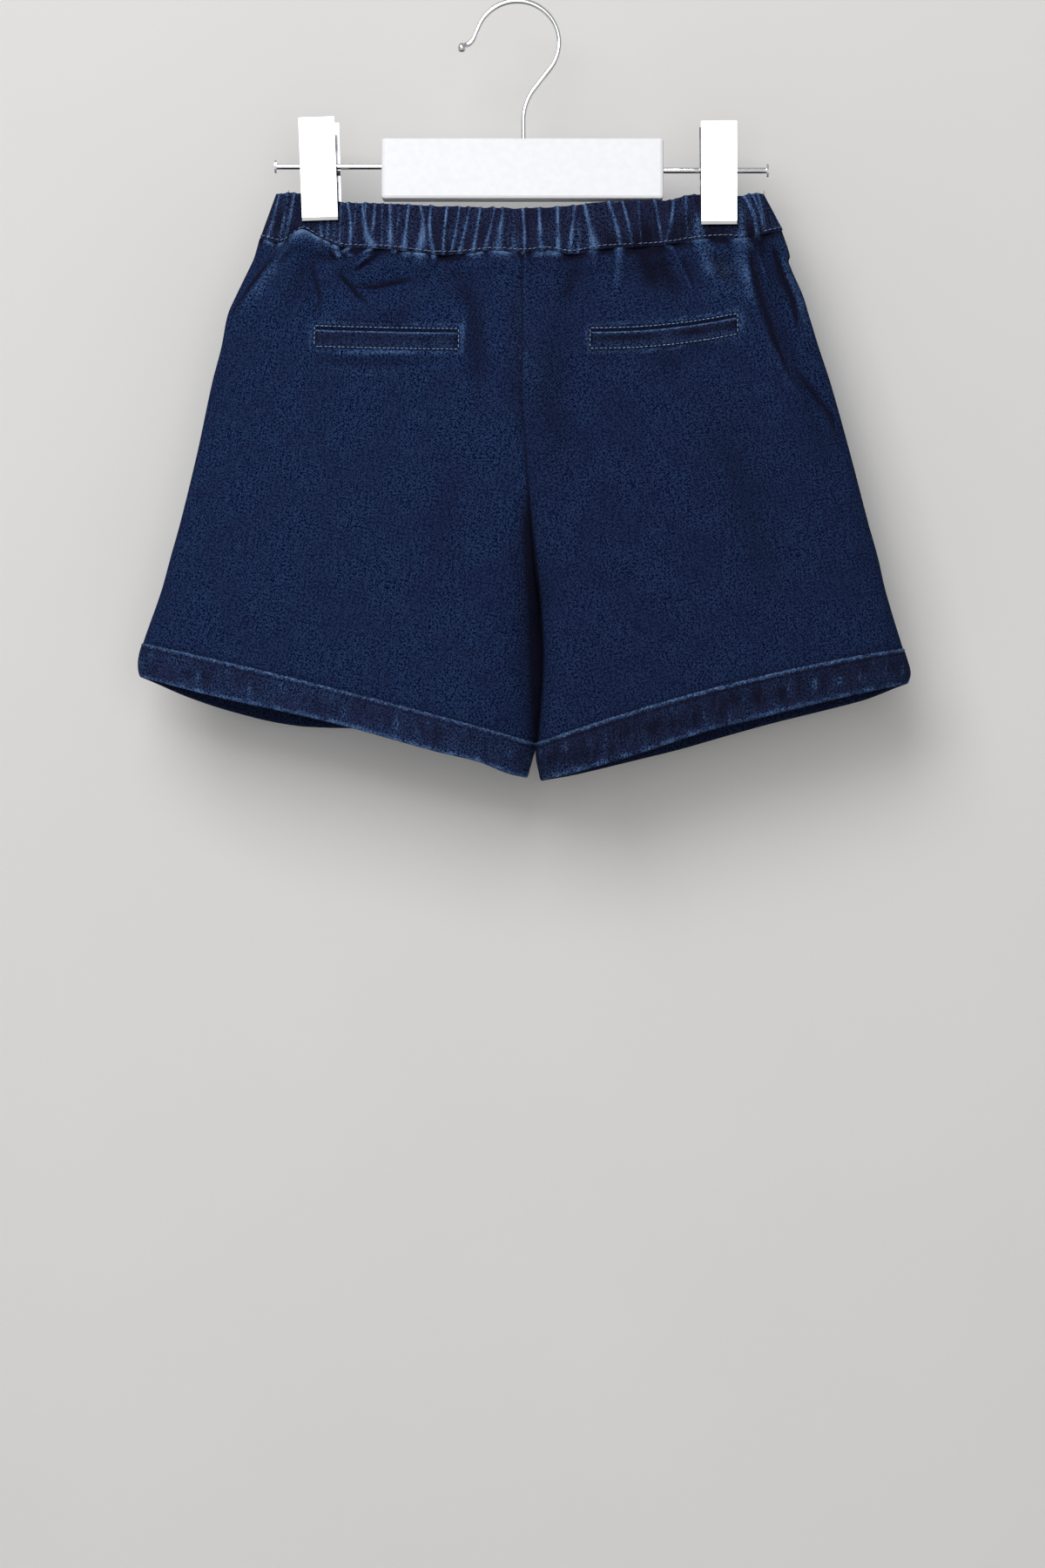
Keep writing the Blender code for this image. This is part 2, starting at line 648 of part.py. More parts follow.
def hook_path():
    """The hook's centre line from its stem in the block, round the bend, to the turned-out tip."""
    centre_z = WIRE_R - HOOK_BEND_R
    leave, arrive, tip_turn = (math.radians(v) for v in (HOOK_LEAVES, HOOK_ARRIVES, HOOK_TIP_TURN))
    end_x, end_z = HOOK_BEND_R * math.cos(leave), centre_z + HOOK_BEND_R * math.sin(leave)
    run = (end_x - HOOK_STEM_X - HOOK_NECK_R * (1 - math.cos(leave))) / -math.sin(leave)
    stem_top = end_z - math.cos(leave) * run + HOOK_NECK_R * math.sin(leave)
    path = [(HOOK_STEM_X, BLOCK_TOP_Z - STEM_SEAT), (HOOK_STEM_X, BLOCK_TOP_Z)]
    for i in range(8):
        a = -leave * i / 7
        path.append((HOOK_STEM_X + HOOK_NECK_R * (1 - math.cos(a)), stem_top + HOOK_NECK_R * math.sin(a)))
    steps = 26
    for i in range(steps + 1):
        a = mix(leave, arrive, i / steps)
        path.append((HOOK_BEND_R * math.cos(a), centre_z + HOOK_BEND_R * math.sin(a)))
    # A short straight run leaves the bend, turns out and ends at the ball.
    heading = arrive + math.pi / 2
    x, z = path[-1]
    for turn, step in [(0.0, HOOK_TIP_RUN)] + [(-tip_turn / 4, 1.2)] * 4 + [(0.0, 2.0)]:
        heading += turn
        x, z = x + step * math.cos(heading), z + step * math.sin(heading)
        path.append((x, z))
    return path


def make_hook(look):
    path = hook_path()
    radii = [WIRE_R] * len(path)
    (x0, z0), (x1, z1) = path[-2:]
    long = math.hypot(x1 - x0, z1 - z0)
    way_x, way_z = (x1 - x0) / long, (z1 - z0) / long
    steps = 7
    start = math.pi - math.asin(WIRE_R / HOOK_BALL_R)
    for i in range(1, steps):
        angle = mix(start, 0.25, i / (steps - 1))
        ahead = HOOK_BALL_R * (math.cos(angle) - math.cos(start))
        path.append((x1 + way_x * ahead, z1 + way_z * ahead))
        radii.append(HOOK_BALL_R * math.sin(angle))
    return swept("hanger_hook", path, radii, look)


def sleeve(profile, place, sides=14):
    """The points and faces of a ring about X, from a closed profile of (x, radius) pairs."""
    points, faces = [], []
    for x, r in profile:
        for k in range(sides):
            turn = 2 * math.pi * k / sides
            ring = Vector((x, r * math.cos(turn), r * math.sin(turn)))
            points.append((Vector(place) + ring) * MM)
    count = len(profile)
    for i in range(count):
        for k in range(sides):
            a, b = i * sides + k, i * sides + (k + 1) % sides
            c, d = (i + 1) % count * sides + k, (i + 1) % count * sides + (k + 1) % sides
            faces.append((a, b, d, c))
    return points, faces


def make_rod(word, way, rod_z, outer_end, look, sides=12):
    """A steel rod with a small head at its outer end."""
    inner_end = CENTRE_X + way * (BLOCK_LONG / 2 - ROD_SEAT)
    stations = (
        (inner_end, ROD_R),
        (outer_end - way * ROD_HEAD_LONG, ROD_R),
        (outer_end - way * ROD_HEAD_LONG, ROD_HEAD_R),
        (outer_end - way * 0.3, ROD_HEAD_R),
        (outer_end, ROD_HEAD_R - 0.5),
    )
    points, faces = [], []
    for x, r in stations:
        for k in range(sides):
            turn = 2 * math.pi * k / sides
            points.append(Vector((x, r * math.cos(turn), rod_z + r * math.sin(turn))) * MM)
    for i in range(len(stations) - 1):
        for k in range(sides):
            a, b = i * sides + k, i * sides + (k + 1) % sides
            faces.append((a, b, b + sides, a + sides))
    faces.append(tuple(range(sides)))
    faces.append(tuple((len(stations) - 1) * sides + k for k in range(sides)))
    return object_from_faces(f"rod_{word}", points, faces, look, 35)


def cutter_bar(name, start, end, radius, sides=12):
    """A hidden round bar from start to end, in millimetres, for a Boolean to cut with."""
    start, end = Vector(start), Vector(end)
    mesh = bpy.data.meshes.new(name)
    shape = bmesh.new()
    length = (end - start).length * MM
    bmesh.ops.create_cone(
        shape, cap_ends=True, segments=sides, radius1=radius * MM, radius2=radius * MM, depth=length
    )
    turn = (end - start).to_track_quat("Z", "Y").to_matrix().to_4x4()
    bmesh.ops.transform(shape, matrix=Matrix.Translation((start + end) / 2 * MM) @ turn, verts=shape.verts)
    shape.to_mesh(mesh)
    shape.free()
    made = bpy.data.objects.new(name, mesh)
    bpy.context.scene.collection.objects.link(made)
    made.hide_render = True
    made.display_type = "WIRE"
    return made


def cut(target, cutter, operation="DIFFERENCE"):
    step = target.modifiers.new(cutter.name, "BOOLEAN")
    step.operation = operation
    step.object = cutter
    step.solver = "EXACT"


def make_block(look):
    """The hanger's painted wooden block, with a blind hole for the stem and for each rod."""
    mesh = bpy.data.meshes.new("hanger_block")
    shape = bmesh.new()
    bmesh.ops.create_cube(shape, size=1.0)
    bmesh.ops.scale(shape, vec=Vector((BLOCK_LONG, BLOCK_DEEP, BLOCK_TALL)) * MM, verts=shape.verts)
    bmesh.ops.bevel(
        shape, geom=shape.edges[:], offset=BLOCK_EDGE_R * MM, segments=2, affect="EDGES", profile=0.5
    )
    shape.to_mesh(mesh)
    shape.free()
    mesh.shade_smooth()
    mesh.set_sharp_from_angle(angle=math.radians(50))
    block = add_object("hanger_block", mesh, look)
    block.location = Vector((CENTRE_X, 0, BLOCK_TOP_Z - BLOCK_TALL / 2)) * MM
    bottom = BLOCK_TOP_Z - STEM_SEAT - SEAM_GAP
    low, high = (HOOK_STEM_X, 0, bottom), (HOOK_STEM_X, 0, BLOCK_TOP_Z + 5)
    cut(block, cutter_bar("stem_hole", low, high, WIRE_R + SEAM_GAP))
    for word, way, rod_z, _ in RODS:
        face = CENTRE_X + way * BLOCK_LONG / 2
        start = (face - way * (ROD_SEAT + SEAM_GAP), 0, rod_z)
        cut(block, cutter_bar(f"rod_hole_{word}", start, (face + way * 5, 0, rod_z), ROD_R + SEAM_GAP))
    return block


def clip_profile():
    """The side view of a clip's plate, (y, z) from the rod: a flat face with a lip that turns in to the jaw."""
    foot = -CLIP_DOWN
    return (
        (-CLIP_TOP_Y, CLIP_UP),
        (-CLIP_FOOT_Y, foot + 2.6),
        (-CLIP_FOOT_Y + 0.7, foot + 0.8),
        (-JAW_Y, foot),
        (-JAW_Y, foot + CLIP_SHEET),
        (-CLIP_FOOT_Y + 1.5, foot + 1.8),
        (-CLIP_FOOT_Y + CLIP_SHEET, foot + 2.9),
        (-CLIP_TOP_Y + CLIP_SHEET, CLIP_UP),
    )


def extruded_x(name, profile, x0, x1):
    """A solid with a (y, z) outline, from x0 to x1, in millimetres round its own origin."""
    mesh = bpy.data.meshes.new(name)
    shape = bmesh.new()
    low = [shape.verts.new(Vector((x0, y, z)) * MM) for y, z in profile]
    high = [shape.verts.new(Vector((x1, y, z)) * MM) for y, z in profile]
    count = len(profile)
    for i in range(count):
        k = (i + 1) % count
        shape.faces.new((low[i], low[k], high[k], high[i]))
    shape.faces.new(low)
    shape.faces.new(reversed(high))
    bmesh.ops.recalc_face_normals(shape, faces=shape.faces)
    shape.to_mesh(mesh)
    shape.free()
    return mesh


def make_clip_plate(name, place, lean, face, ear_x, shift, look):
    """One plate of a clip, with two ears that ride on the rod. face is -1 towards the viewer."""
    profile = [(-face * y, z) for y, z in clip_profile()]
    if face > 0:
        profile.reverse()
    half = CLIP_WIDE / 2
    plate = add_object(name, extruded_x(name, profile, shift - half, shift + half), look)
    plate.location = place
    plate.rotation_euler = (0, math.radians(lean), 0)
    wall_y = face * mix(CLIP_FOOT_Y, CLIP_TOP_Y, CLIP_DOWN / (CLIP_DOWN + CLIP_UP)) - face * CLIP_SHEET / 2
    ear = [(wall_y, -EAR_R), (wall_y, EAR_R)]
    ear += [
        (-face * EAR_R * math.sin(a), EAR_R * math.cos(a))
        for a in (math.pi * i / 6 for i in range(7))
    ]
    for way, word in ((-1, "a"), (1, "b")):
        x = way * ear_x
        lug = bpy.data.objects.new(f"{name}_ear_{word}", extruded_x(f"{name}_ear", ear, x - 0.5, x + 0.5))
        bpy.context.scene.collection.objects.link(lug)
        lug.location, lug.rotation_euler = plate.location, plate.rotation_euler
        lug.hide_render = True
        lug.display_type = "WIRE"
        cut(plate, lug, "UNION")
    across = (CLIP_WIDE / 2 + 6) * Vector((1, 0, 0))
    middle = Vector(place) / MM
    cut(plate, cutter_bar(f"{name}_bore", middle - across, middle + across, CLIP_HOLE_R, 14))
    return plate


def make_clip(word, x, rod_z, lean, shift, look):
    """Two sprung plates on the rod. The one towards the shorts' back carries the wider pair of ears."""
    place = Vector((x, 0, rod_z)) * MM
    make_clip_plate(f"clip_{word}_back_plate", place, lean, -1, 8.6, 0.0, look)
    make_clip_plate(f"clip_{word}_front_plate", place, lean, 1, 7.0, shift, look)
    inner_r = ROD_R + SEAM_GAP
    half = SPRING_LONG / 2
    profile = ((-half, inner_r), (-half, SPRING_R), (half, SPRING_R), (half, inner_r))
    points, faces = sleeve(profile, (x, 0, rod_z))
    return object_from_faces(f"clip_{word}_spring", points, faces, look, 35)


# ---------------------------------------------------------------- the whole part
def clear_scene():
    for old in list(bpy.data.objects):
        bpy.data.objects.remove(old, do_unlink=True)


def main():
    clear_scene()
    denim = material("indigo_denim", (0.02, 0.05, 0.14), 0.85)
    band = material("waistband_denim", (0.025, 0.055, 0.14), 0.85)
    paint = material("white_paint", (0.9, 0.91, 0.92), 0.35)
    chrome = material("chrome", (0.86, 0.87, 0.88), 0.12, 1.0)
    for face, word in ((-1, "back"), (1, "front")):
        for side, end in ((-1, "left"), (1, "right")):
            make_waistband(f"waistband_{word}_{end}", side, face, band)
            make_panel(f"{word}_{end}", side, face, denim)
    make_hem("hem_left", -1, denim)
    make_hem("hem_right", 1, denim)
    for side, pocket in zip((-1, 1), POCKETS):
        make_welt(f"welt_{pocket[0]}", side, pocket, band)
    make_block(paint)
    make_hook(chrome)
    for word, way, rod_z, outer_end in RODS:
        make_rod(word, way, rod_z, outer_end, chrome)
    for word, x, rod_z, lean, shift in CLIPS:
        make_clip(word, x, rod_z, lean, shift, chrome)


main()
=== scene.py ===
"""The looks of the denim shorts on their clip hanger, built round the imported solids.

Sizes are in millimetres and become metres when a mesh is made. +X is to the right of somebody who
looks at the back of the shorts, +Y goes away from them, and +Z is up. The cloth is described in the
garment's own frame: x from the centre back seam, y, and drop, which is the distance below the middle
of the waistband's top edge. Arrays of points have a row for each level and a column along the cloth.
"""

import math

import bpy
import numpy as np
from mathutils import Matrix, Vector


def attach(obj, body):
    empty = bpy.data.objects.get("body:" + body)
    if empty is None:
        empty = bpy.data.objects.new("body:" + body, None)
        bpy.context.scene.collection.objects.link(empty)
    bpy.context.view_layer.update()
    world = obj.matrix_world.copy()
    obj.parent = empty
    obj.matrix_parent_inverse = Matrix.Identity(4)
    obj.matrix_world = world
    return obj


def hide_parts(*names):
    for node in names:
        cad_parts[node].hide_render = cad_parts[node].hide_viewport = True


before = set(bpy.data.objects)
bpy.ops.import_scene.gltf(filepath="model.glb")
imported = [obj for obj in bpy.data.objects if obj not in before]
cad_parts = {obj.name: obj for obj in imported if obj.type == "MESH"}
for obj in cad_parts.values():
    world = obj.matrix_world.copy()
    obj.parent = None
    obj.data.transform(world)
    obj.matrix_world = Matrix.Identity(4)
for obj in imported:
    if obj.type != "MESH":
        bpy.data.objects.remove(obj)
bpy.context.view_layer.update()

MM = 0.001

# ---------------------------------------------------------------- hanger
WIRE_R = 1.5
HOOK_BEND_R = 24.0  # centre line of the hook's bend
HOOK_BALL_R = 2.6
HOOK_LEAVES, HOOK_ARRIVES = -38.0, 157.0  # angles of the bend's two ends, in degrees
HOOK_NECK_R, HOOK_STEM_X = 30.0, 3.5
HOOK_TIP_RUN, HOOK_TIP_TURN = 7.4, 38.0
BLOCK_TOP_Z = -78.3
STEM_SEAT = 12.0  # how far the stem goes into the block

# ---------------------------------------------------------------- garment
GARMENT_X, GARMENT_TOP_Z = 3.0, -117.6  # the shorts hang a little to the right of the hook's bend
CLOTH = 1.2  # denim wall of the panels
BAND_WALL = 2.8  # two layers of denim and the elastic
HEM_WALL = 2.4  # the cloth turned up twice
HEM_PROUD = 0.5
HEM_CLEAR = 0.06  # between a panel and its hem
SIDE_GAP = 0.012  # half of the gap at the side seam, the centre seam and the inseam

# Widths from the centre line to the side folds, by drop.
OUTLINE = (
    # drop, left, right
    (5, 147.5, 146),
    (17.5, 151, 150.5),
    (27.5, 153.8, 153.6),
    (31, 155.2, 152.9),
    (50, 164.4, 161),
    (61, 169.2, 164.4),
    (80, 173, 170.2),
    (100, 178.2, 176.8),
    (140, 186.7, 188),
    (180, 196.4, 198.4),
    (200, 202, 204),
    (220, 207.5, 208.6),
    (250, 218, 217.6),
    (260, 220.4, 220.8),
    (267, 219.8, 222.4),
    (275, 216, 220),
)

# Where the centre seam runs above the crotch, and where each leg's inner fold runs below it. The left
# leg reaches a little way behind the right one.
INNER_LINE = (
    # drop, left, right
    (28, 0, 0),
    (92, -0.8, -0.8),
    (124, 0, 0),
    (160, 3.2, 3.2),
    (183, 4.8, 4.8),
    (208, 7, 7),
    (226, 9.6, 9.6),
    (231, 10.2, 10),
    (237, 11.1, 10.6),
    (254, 13.8, 11.5),
    (269, 14, 11.2),
    (286, 12.4, 10.2),
    (306, 9, 8.6),
    (314, 6, 8),
    (330, 1.6, 11),
)
CROTCH_DROP = 226.0
CREASE_START = 108.0  # the seat's crease begins here and is full depth at the crotch
INSEAM_Y = {-1: 5.0, 1: -7.0}  # the left leg's inseam lies behind, the right one's in front
INSEAM_TURN = 18.0  # below the crotch, how far it takes to get there

# How far the walls stand from the mid plane at their fullest.
DEPTHS = (
    # drop, back, front
    (20, 9, 9),
    (60, 14, 13),
    (120, 18, 17),
    (180, 20.5, 20),
    (226, 21, 22),
    (275, 21, 24),
    (330, 20, 24),
)
BODY_ROUND = 4.0  # exponent of the body's section: flat in the middle, round at the sides
LEG_ROUND_SIDE = 3.0
# The leg that lies in front turns in sharply and the other one softly, on the back and on the front.
LEG_ROUND_INNER = {(-1, -1): 4.0, (1, -1): 8.0, (-1, 1): 8.0, (1, 1): 4.0}  # (side, face)

# The waistband, from one side fold to the other.
WAIST = (
    # x, drop of the top edge, drop of the seam, stand-off from the mid plane
    (-151, -8, 17.4, 5.6),
    (-138, -8.2, 20.6, 6),
    (-130, -8, 14.4, 3.2),
    (-125.5, -7.4, 12.6, 3.2),
    (-117, -6, 17, 3.2),
    (-104, -3.2, 22.4, 3.2),
    (-95, -2.4, 23.4, 6),
    (-75, -1.4, 24.6, 8.2),
    (-46, 0, 28, 9.2),
    (-16, 0.8, 25.4, 9.5),
    (0, 1, 26.4, 9.5),
    (14, 0.6, 25.2, 9.5),
    (28, -0.4, 27.4, 9.2),
    (44, -1.8, 24.4, 9),
    (66, -3.4, 23.2, 8.2),
    (82, -4, 21.8, 7.2),
    (92, -6, 20, 6),
    (101, -7.8, 18.4, 3.2),
    (113, -8.4, 17.4, 3.2),
    (125.5, -7, 17.6, 3.2),
    (134, -7.6, 16.6, 5.4),
    (150, -8.2, 12.2, 5.6),
)
BAND_ENDS_TOP = (-141.5, 138.5)
BAND_ENDS_SEAM = (-150.8, 149.5)
BAND_END_ROUND = 10.0
BAND_EDGE_PULL = 1.0  # the top fold and the stitched seam lie lower than the band between them
BAND_ROLL, HEM_ROLL = 1.35, 1.1  # how far the band's top edge and a hem's lower edge roll in
SEAM_CLEAR = 0.1  # below the band

# The gathers of the back waistband: ridges, each with its place at the top edge and at the seam.
BACK_GATHERS = (
    # x at top, x at seam, height
    (-138.5, -146, 0.7),
    (-134.5, -142, 1),
    (-130.5, -137, 1.1),
    (-126, -131, 0.4),
    (-121.5, -123.5, 0.5),
    (-116.5, -116.5, 0.5),
    (-111, -111, 0.5),
    (-105, -105.5, 0.5),
    (-100, -99, 1),
    (-95.5, -94.5, 0.8),
    (-90, -88.5, 1.4),
    (-85, -84.5, 1.2),
    (-80, -80, 1.3),
    (-75.5, -75.5, 1.5),
    (-71, -71.5, 0.7),
    (-65, -67.5, 1.4),
    (-58.2, -58.2, 1.6),
    (-52.6, -51, 1.5),
    (-43.2, -46, 1.5),
    (-37, -40.5, 1.4),
    (-31, -35.5, 1.4),
    (-24, -28, 1.4),
    (-17, -21.5, 1.3),
    (-11.5, -14.5, 1.2),
    (2.2, 2.2, 1.5),
    (10, 10.5, 1.4),
    (19.5, 20.5, 1.4),
    (29.5, 26.6, 1.3),
    (36, 41, 1.4),
    (49.5, 55.5, 1.3),
    (57.3, 62.3, 1.3),
    (65.5, 69, 1),
    (74.5, 76, 1.3),
    (84.5, 82.5, 1.3),
    (93, 93.5, 1),
    (98.5, 99, 0.9),
    (106, 106, 0.5),
    (113, 113, 0.5),
    (119, 119.5, 0.5),
    (124.5, 126.5, 0.4),
    (129.5, 132.5, 1.1),
    (134, 138.5, 1),
)
FRONT_GATHER_COUNT, FRONT_GATHER_ENDS = 40, (-138.0, 134.5)
CLIPPED_X, CLIPPED_HALF = (-117, 113), 15  # where the clips press the front's gathers flat

# Folds of the panels. Each is a ridge, or a trough where the height is negative, along a straight
# line, with its own softness on either side.
BACK_FOLDS = (
    # x, drop at its head, x, drop at its foot, softness left, softness right, height
    (-127, 10, -168, 62, 3.5, 22, 4),
    (-122, 22, -116, 62, 7, 6, -2.2),
    (-107, 34, -90, 60, 5, 5, -1.8),
    (-92, 46, -60, 42, 5, 6, -1.6),
    (-58, 26, -66, 60, 8, 8, 1.2),
    (50, 24, 22, 84, 9, 9, -1.3),
    (104, 18, 114, 60, 7, 9, 1.8),
    (128, 18, 180, 170, 22, 6, 3.4),
    (134, 22, 186, 176, 4.5, 9, -2.6),
    (146, 14, 168, 96, 5, 9, 2.4),
    (0, 150, 8, 222, 14, 7, -1.5),
)
FRONT_FOLDS = (
    (126, 14, 166, 72, 22, 4, 3.4),
    (118, 22, 104, 74, 7, 7, -2),
    (84, 24, 72, 78, 8, 8, 1.6),
    (40, 26, 46, 92, 9, 9, -1.3),
    (-30, 26, -22, 88, 8, 9, 1.4),
    (-76, 24, -66, 78, 8, 8, -1.6),
    (-110, 18, -124, 84, 8, 8, 2),
    (-132, 20, -184, 172, 6, 22, 3),
    (0, 150, 8, 222, 9, 9, -1.5),
)
FOLDS = {-1: BACK_FOLDS, 1: FRONT_FOLDS}
PUCKER_HIGH, PUCKER_LONG, PUCKER_FADE = 1.1, 19.0, 13.0  # the gathers' run-out below the seam
PUFF_HIGH, PUFF_REACH = 1.6, 16.0  # the cloth stands out a little right below the seam
WAIST_REACH = 55.0  # how far below the seam the waist's form lasts
SIDE_SOFT, INNER_SOFT = 0.06, 0.1  # shares of a panel's width in which its folds die out at its edges

# Hems. The seam above the hem slopes from the side fold down to the inner corner, and is arched.
HEM_SIDE_DROP, HEM_INNER_DROP = {-1: 249.5, 1: 252.5}, {-1: 307.0, 1: 306.5}
HEM_ARCH = {-1: 1.8, 1: 5.2}
HEM_TALL = {
    # share of the way to the inseam, height
    -1: ((0, 20), (0.2, 21), (0.5, 19.3), (0.76, 19.8), (0.88, 18.8), (0.95, 20.6), (1, 20)),
    1: ((0, 20.8), (0.15, 21.8), (0.4, 23.4), (0.56, 23.4), (0.72, 25), (0.9, 24.4), (1, 22.2)),
}
# How much lower the front hem hangs than the back one, by the same share.
FRONT_HANGS = {
    -1: ((0, 0), (0.12, 4.4), (0.3, 7), (0.4, 6.2), (0.48, 3.2), (0.56, -0.5), (0.75, -2.5), (1, 0)),
    1: ((0, 0), (0.12, 4.3), (0.4, 5), (0.58, 6), (0.72, 3.6), (0.9, 1.2), (1, 0)),
}

# Welt pockets on the back: inner ends nearest the centre seam.
POCKETS = {
    # side: x and drop of the left end, x and drop of the right end, sag of the middle
    -1: (-118.1, 80.3, -37.2, 82.2, 0.3),
    1: (39.2, 81.7, 122.1, 73.3, 2.3),
}
WELT_TALL = 9.2


# ---------------------------------------------------------------- what the looks add
# Creases of the panels, finer than the folds above: a trough, or a ridge where the height is positive,
# along a line of (x, drop) points, with its own softness on either side of the line.
BACK_CREASES = (
    # height, softness left, softness right, points
    (-2.6, 2, 5, ((130.8, 20), (134, 52), (139.3, 65), (143, 77), (154.5, 103))),
    (1.6, 4, 1.6, ((125.5, 20), (129.5, 34), (134, 55), (138.5, 66))),
    (-2.4, 5, 1.6, ((144.5, 24), (149.5, 38), (155.5, 53), (158.5, 72))),
    (-1.8, 3, 2, ((157, 93), (168.5, 108), (177, 120), (182, 140))),
    (1.5, 3, 3.5, ((148, 24), (153.5, 40), (160, 55), (164.5, 72), (168, 90))),
    (0.9, 1.8, 1.8, ((134, 22), (138, 34), (142, 46))),
    (-1.6, 0.9, 2.2, ((-107, 36.5), (-100, 44.5), (-94, 51.5), (-88, 57))),
    (-1.9, 1.4, 1.1, ((-82.5, 27), (-88, 31.5), (-96.5, 37.5))),
    (1, 1.6, 1.6, ((-86.5, 25), (-91, 30), (-99, 36))),
    (-1.5, 1.3, 2.8, ((-95, 45.6), (-84, 46.2), (-74, 44.2), (-61, 41.8))),
    (-1, 1.3, 1.5, ((-121.5, 27), (-120, 38), (-118, 48), (-115.5, 53))),
    (-1, 1.2, 1.6, ((-116.5, 54), (-119, 63))),
    (-2.2, 3, 3, ((-121, 27.5), (-112, 29), (-103, 28.5))),
    (0.9, 2.5, 2, ((-33, 60), (-34, 72), (-35.5, 84))),
    (0.5, 1.4, 1.8, ((-60, 66.2), (-48, 65.2), (-38, 66))),
    (-1.6, 4, 6.5, ((-47, 29), (-37, 42), (-29, 55), (-26.5, 70), (-27, 90), (-25, 116))),
    (0.8, 1.8, 2.2, ((-116, 84.6), (-100, 85), (-78, 84.2), (-52, 84))),
    (-0.9, 2, 2.6, ((-120, 88.8), (-96, 90.2), (-70, 90.6), (-47, 88.6))),
    (0.7, 3, 4, ((-118, 95), (-90, 96.5), (-56, 94))),
    (1, 2.5, 3, ((55, 22), (54.5, 32), (53, 50))),
    (1.2, 3.5, 2.5, ((101.5, 19), (104, 32), (110, 44), (116, 50))),
    (-1.5, 1.1, 2.6, ((108, 29), (114, 39), (122, 48))),
    (1, 1.5, 1, ((85.5, 23), (91, 34), (97, 48), (99.5, 56))),
    (-0.9, 1, 3, ((90.5, 29), (96, 40), (100, 50))),
    (-1.5, 5, 5, ((33, 32), (27, 46), (21.5, 60))),
    (-0.6, 1.6, 2.4, ((37, 83), (44, 85.2), (51, 86.5))),
    (-0.5, 1.8, 2.6, ((74, 87.5), (84, 88.5), (92, 86.5))),
    (0.6, 2, 2.6, ((42, 93), (66, 94), (96, 91.6))),
    (-0.8, 7, 9, ((-150, 120), (-160, 170), (-172, 220))),
    (0.8, 9, 9, ((-110, 130), (-116, 180), (-128, 236))),
    (-0.8, 9, 7, ((120, 120), (128, 170), (140, 226))),
    (0.8, 8, 9, ((70, 150), (74, 200), (82, 250))),
)
FRONT_CREASES = (
    (-2.2, 4, 2.2, ((128, 22), (136, 44), (150, 78), (160, 104))),
    (-1.6, 2, 3.5, ((96, 26), (90, 46), (92, 66))),
    (-1.4, 1.4, 2.6, ((60, 30), (66, 42), (78, 52))),
    (1.2, 2.5, 3.5, ((30, 26), (33, 44), (31, 66))),
    (-1.4, 4, 3, ((-14, 28), (-18, 56), (-14, 92))),
    (-1.6, 1.6, 3, ((-58, 28), (-52, 42), (-40, 52))),
    (1.1, 2.2, 3, ((-88, 24), (-84, 44), (-90, 64))),
    (-2.4, 2.2, 4.6, ((-130, 22), (-136, 52), (-148, 92), (-158, 116))),
    (-0.8, 7, 9, ((150, 120), (160, 176), (172, 226))),
    (-0.8, 9, 9, ((60, 150), (72, 200), (70, 252))),
    (0.8, 9, 8, ((-60, 140), (-74, 196), (-84, 250))),
    (-0.8, 7, 9, ((-150, 130), (-162, 180), (-176, 228))),
)
CREASES = {-1: BACK_CREASES, 1: FRONT_CREASES}

# Puffs of the gathered cloth right below the waistband's seam.
BACK_PUFFS = (
    # x, half width, how far it reaches down, height, sideways lean for each millimetre down
    (-144.3, 3.2, 5, 0.9, 0),
    (-138.3, 2.2, 3.5, 0.7, 0),
    (-125.5, 5.6, 10, 1.5, -0.45),
    (-118.2, 3.2, 4.5, 1.3, 0.3),
    (-112, 2.3, 3.5, 1.2, 0.3),
    (-107, 2.2, 4, 1.2, -0.2),
    (-99.5, 1.8, 7, 1, -1.1),
    (-87, 2, 8, 1.1, -1.2),
    (-73, 2.4, 4, 0.6, -0.6),
    (-66, 3, 6, 0.9, -0.3),
    (-58.5, 4, 8, 1.4, 0.15),
    (-50.5, 1.6, 5.5, 1, 0.1),
    (-27, 5, 4.5, 1.3, 0.3),
    (-11.5, 7.2, 6.5, 1.3, 0),
    (9, 4, 5, 1, 0),
    (17.5, 4.5, 5, 1.2, 0),
    (40.5, 3.4, 10, 1.1, 0),
    (55.5, 3, 13, 1.2, -0.15),
    (83.5, 2.4, 7, 1, 0.7),
    (95.5, 2, 3, 0.6, 0),
    (102, 5, 16, 1.4, 0.15),
    (124.5, 5, 14, 1.4, 0.3),
    (135, 2, 9, 0.8, 0.2),
)

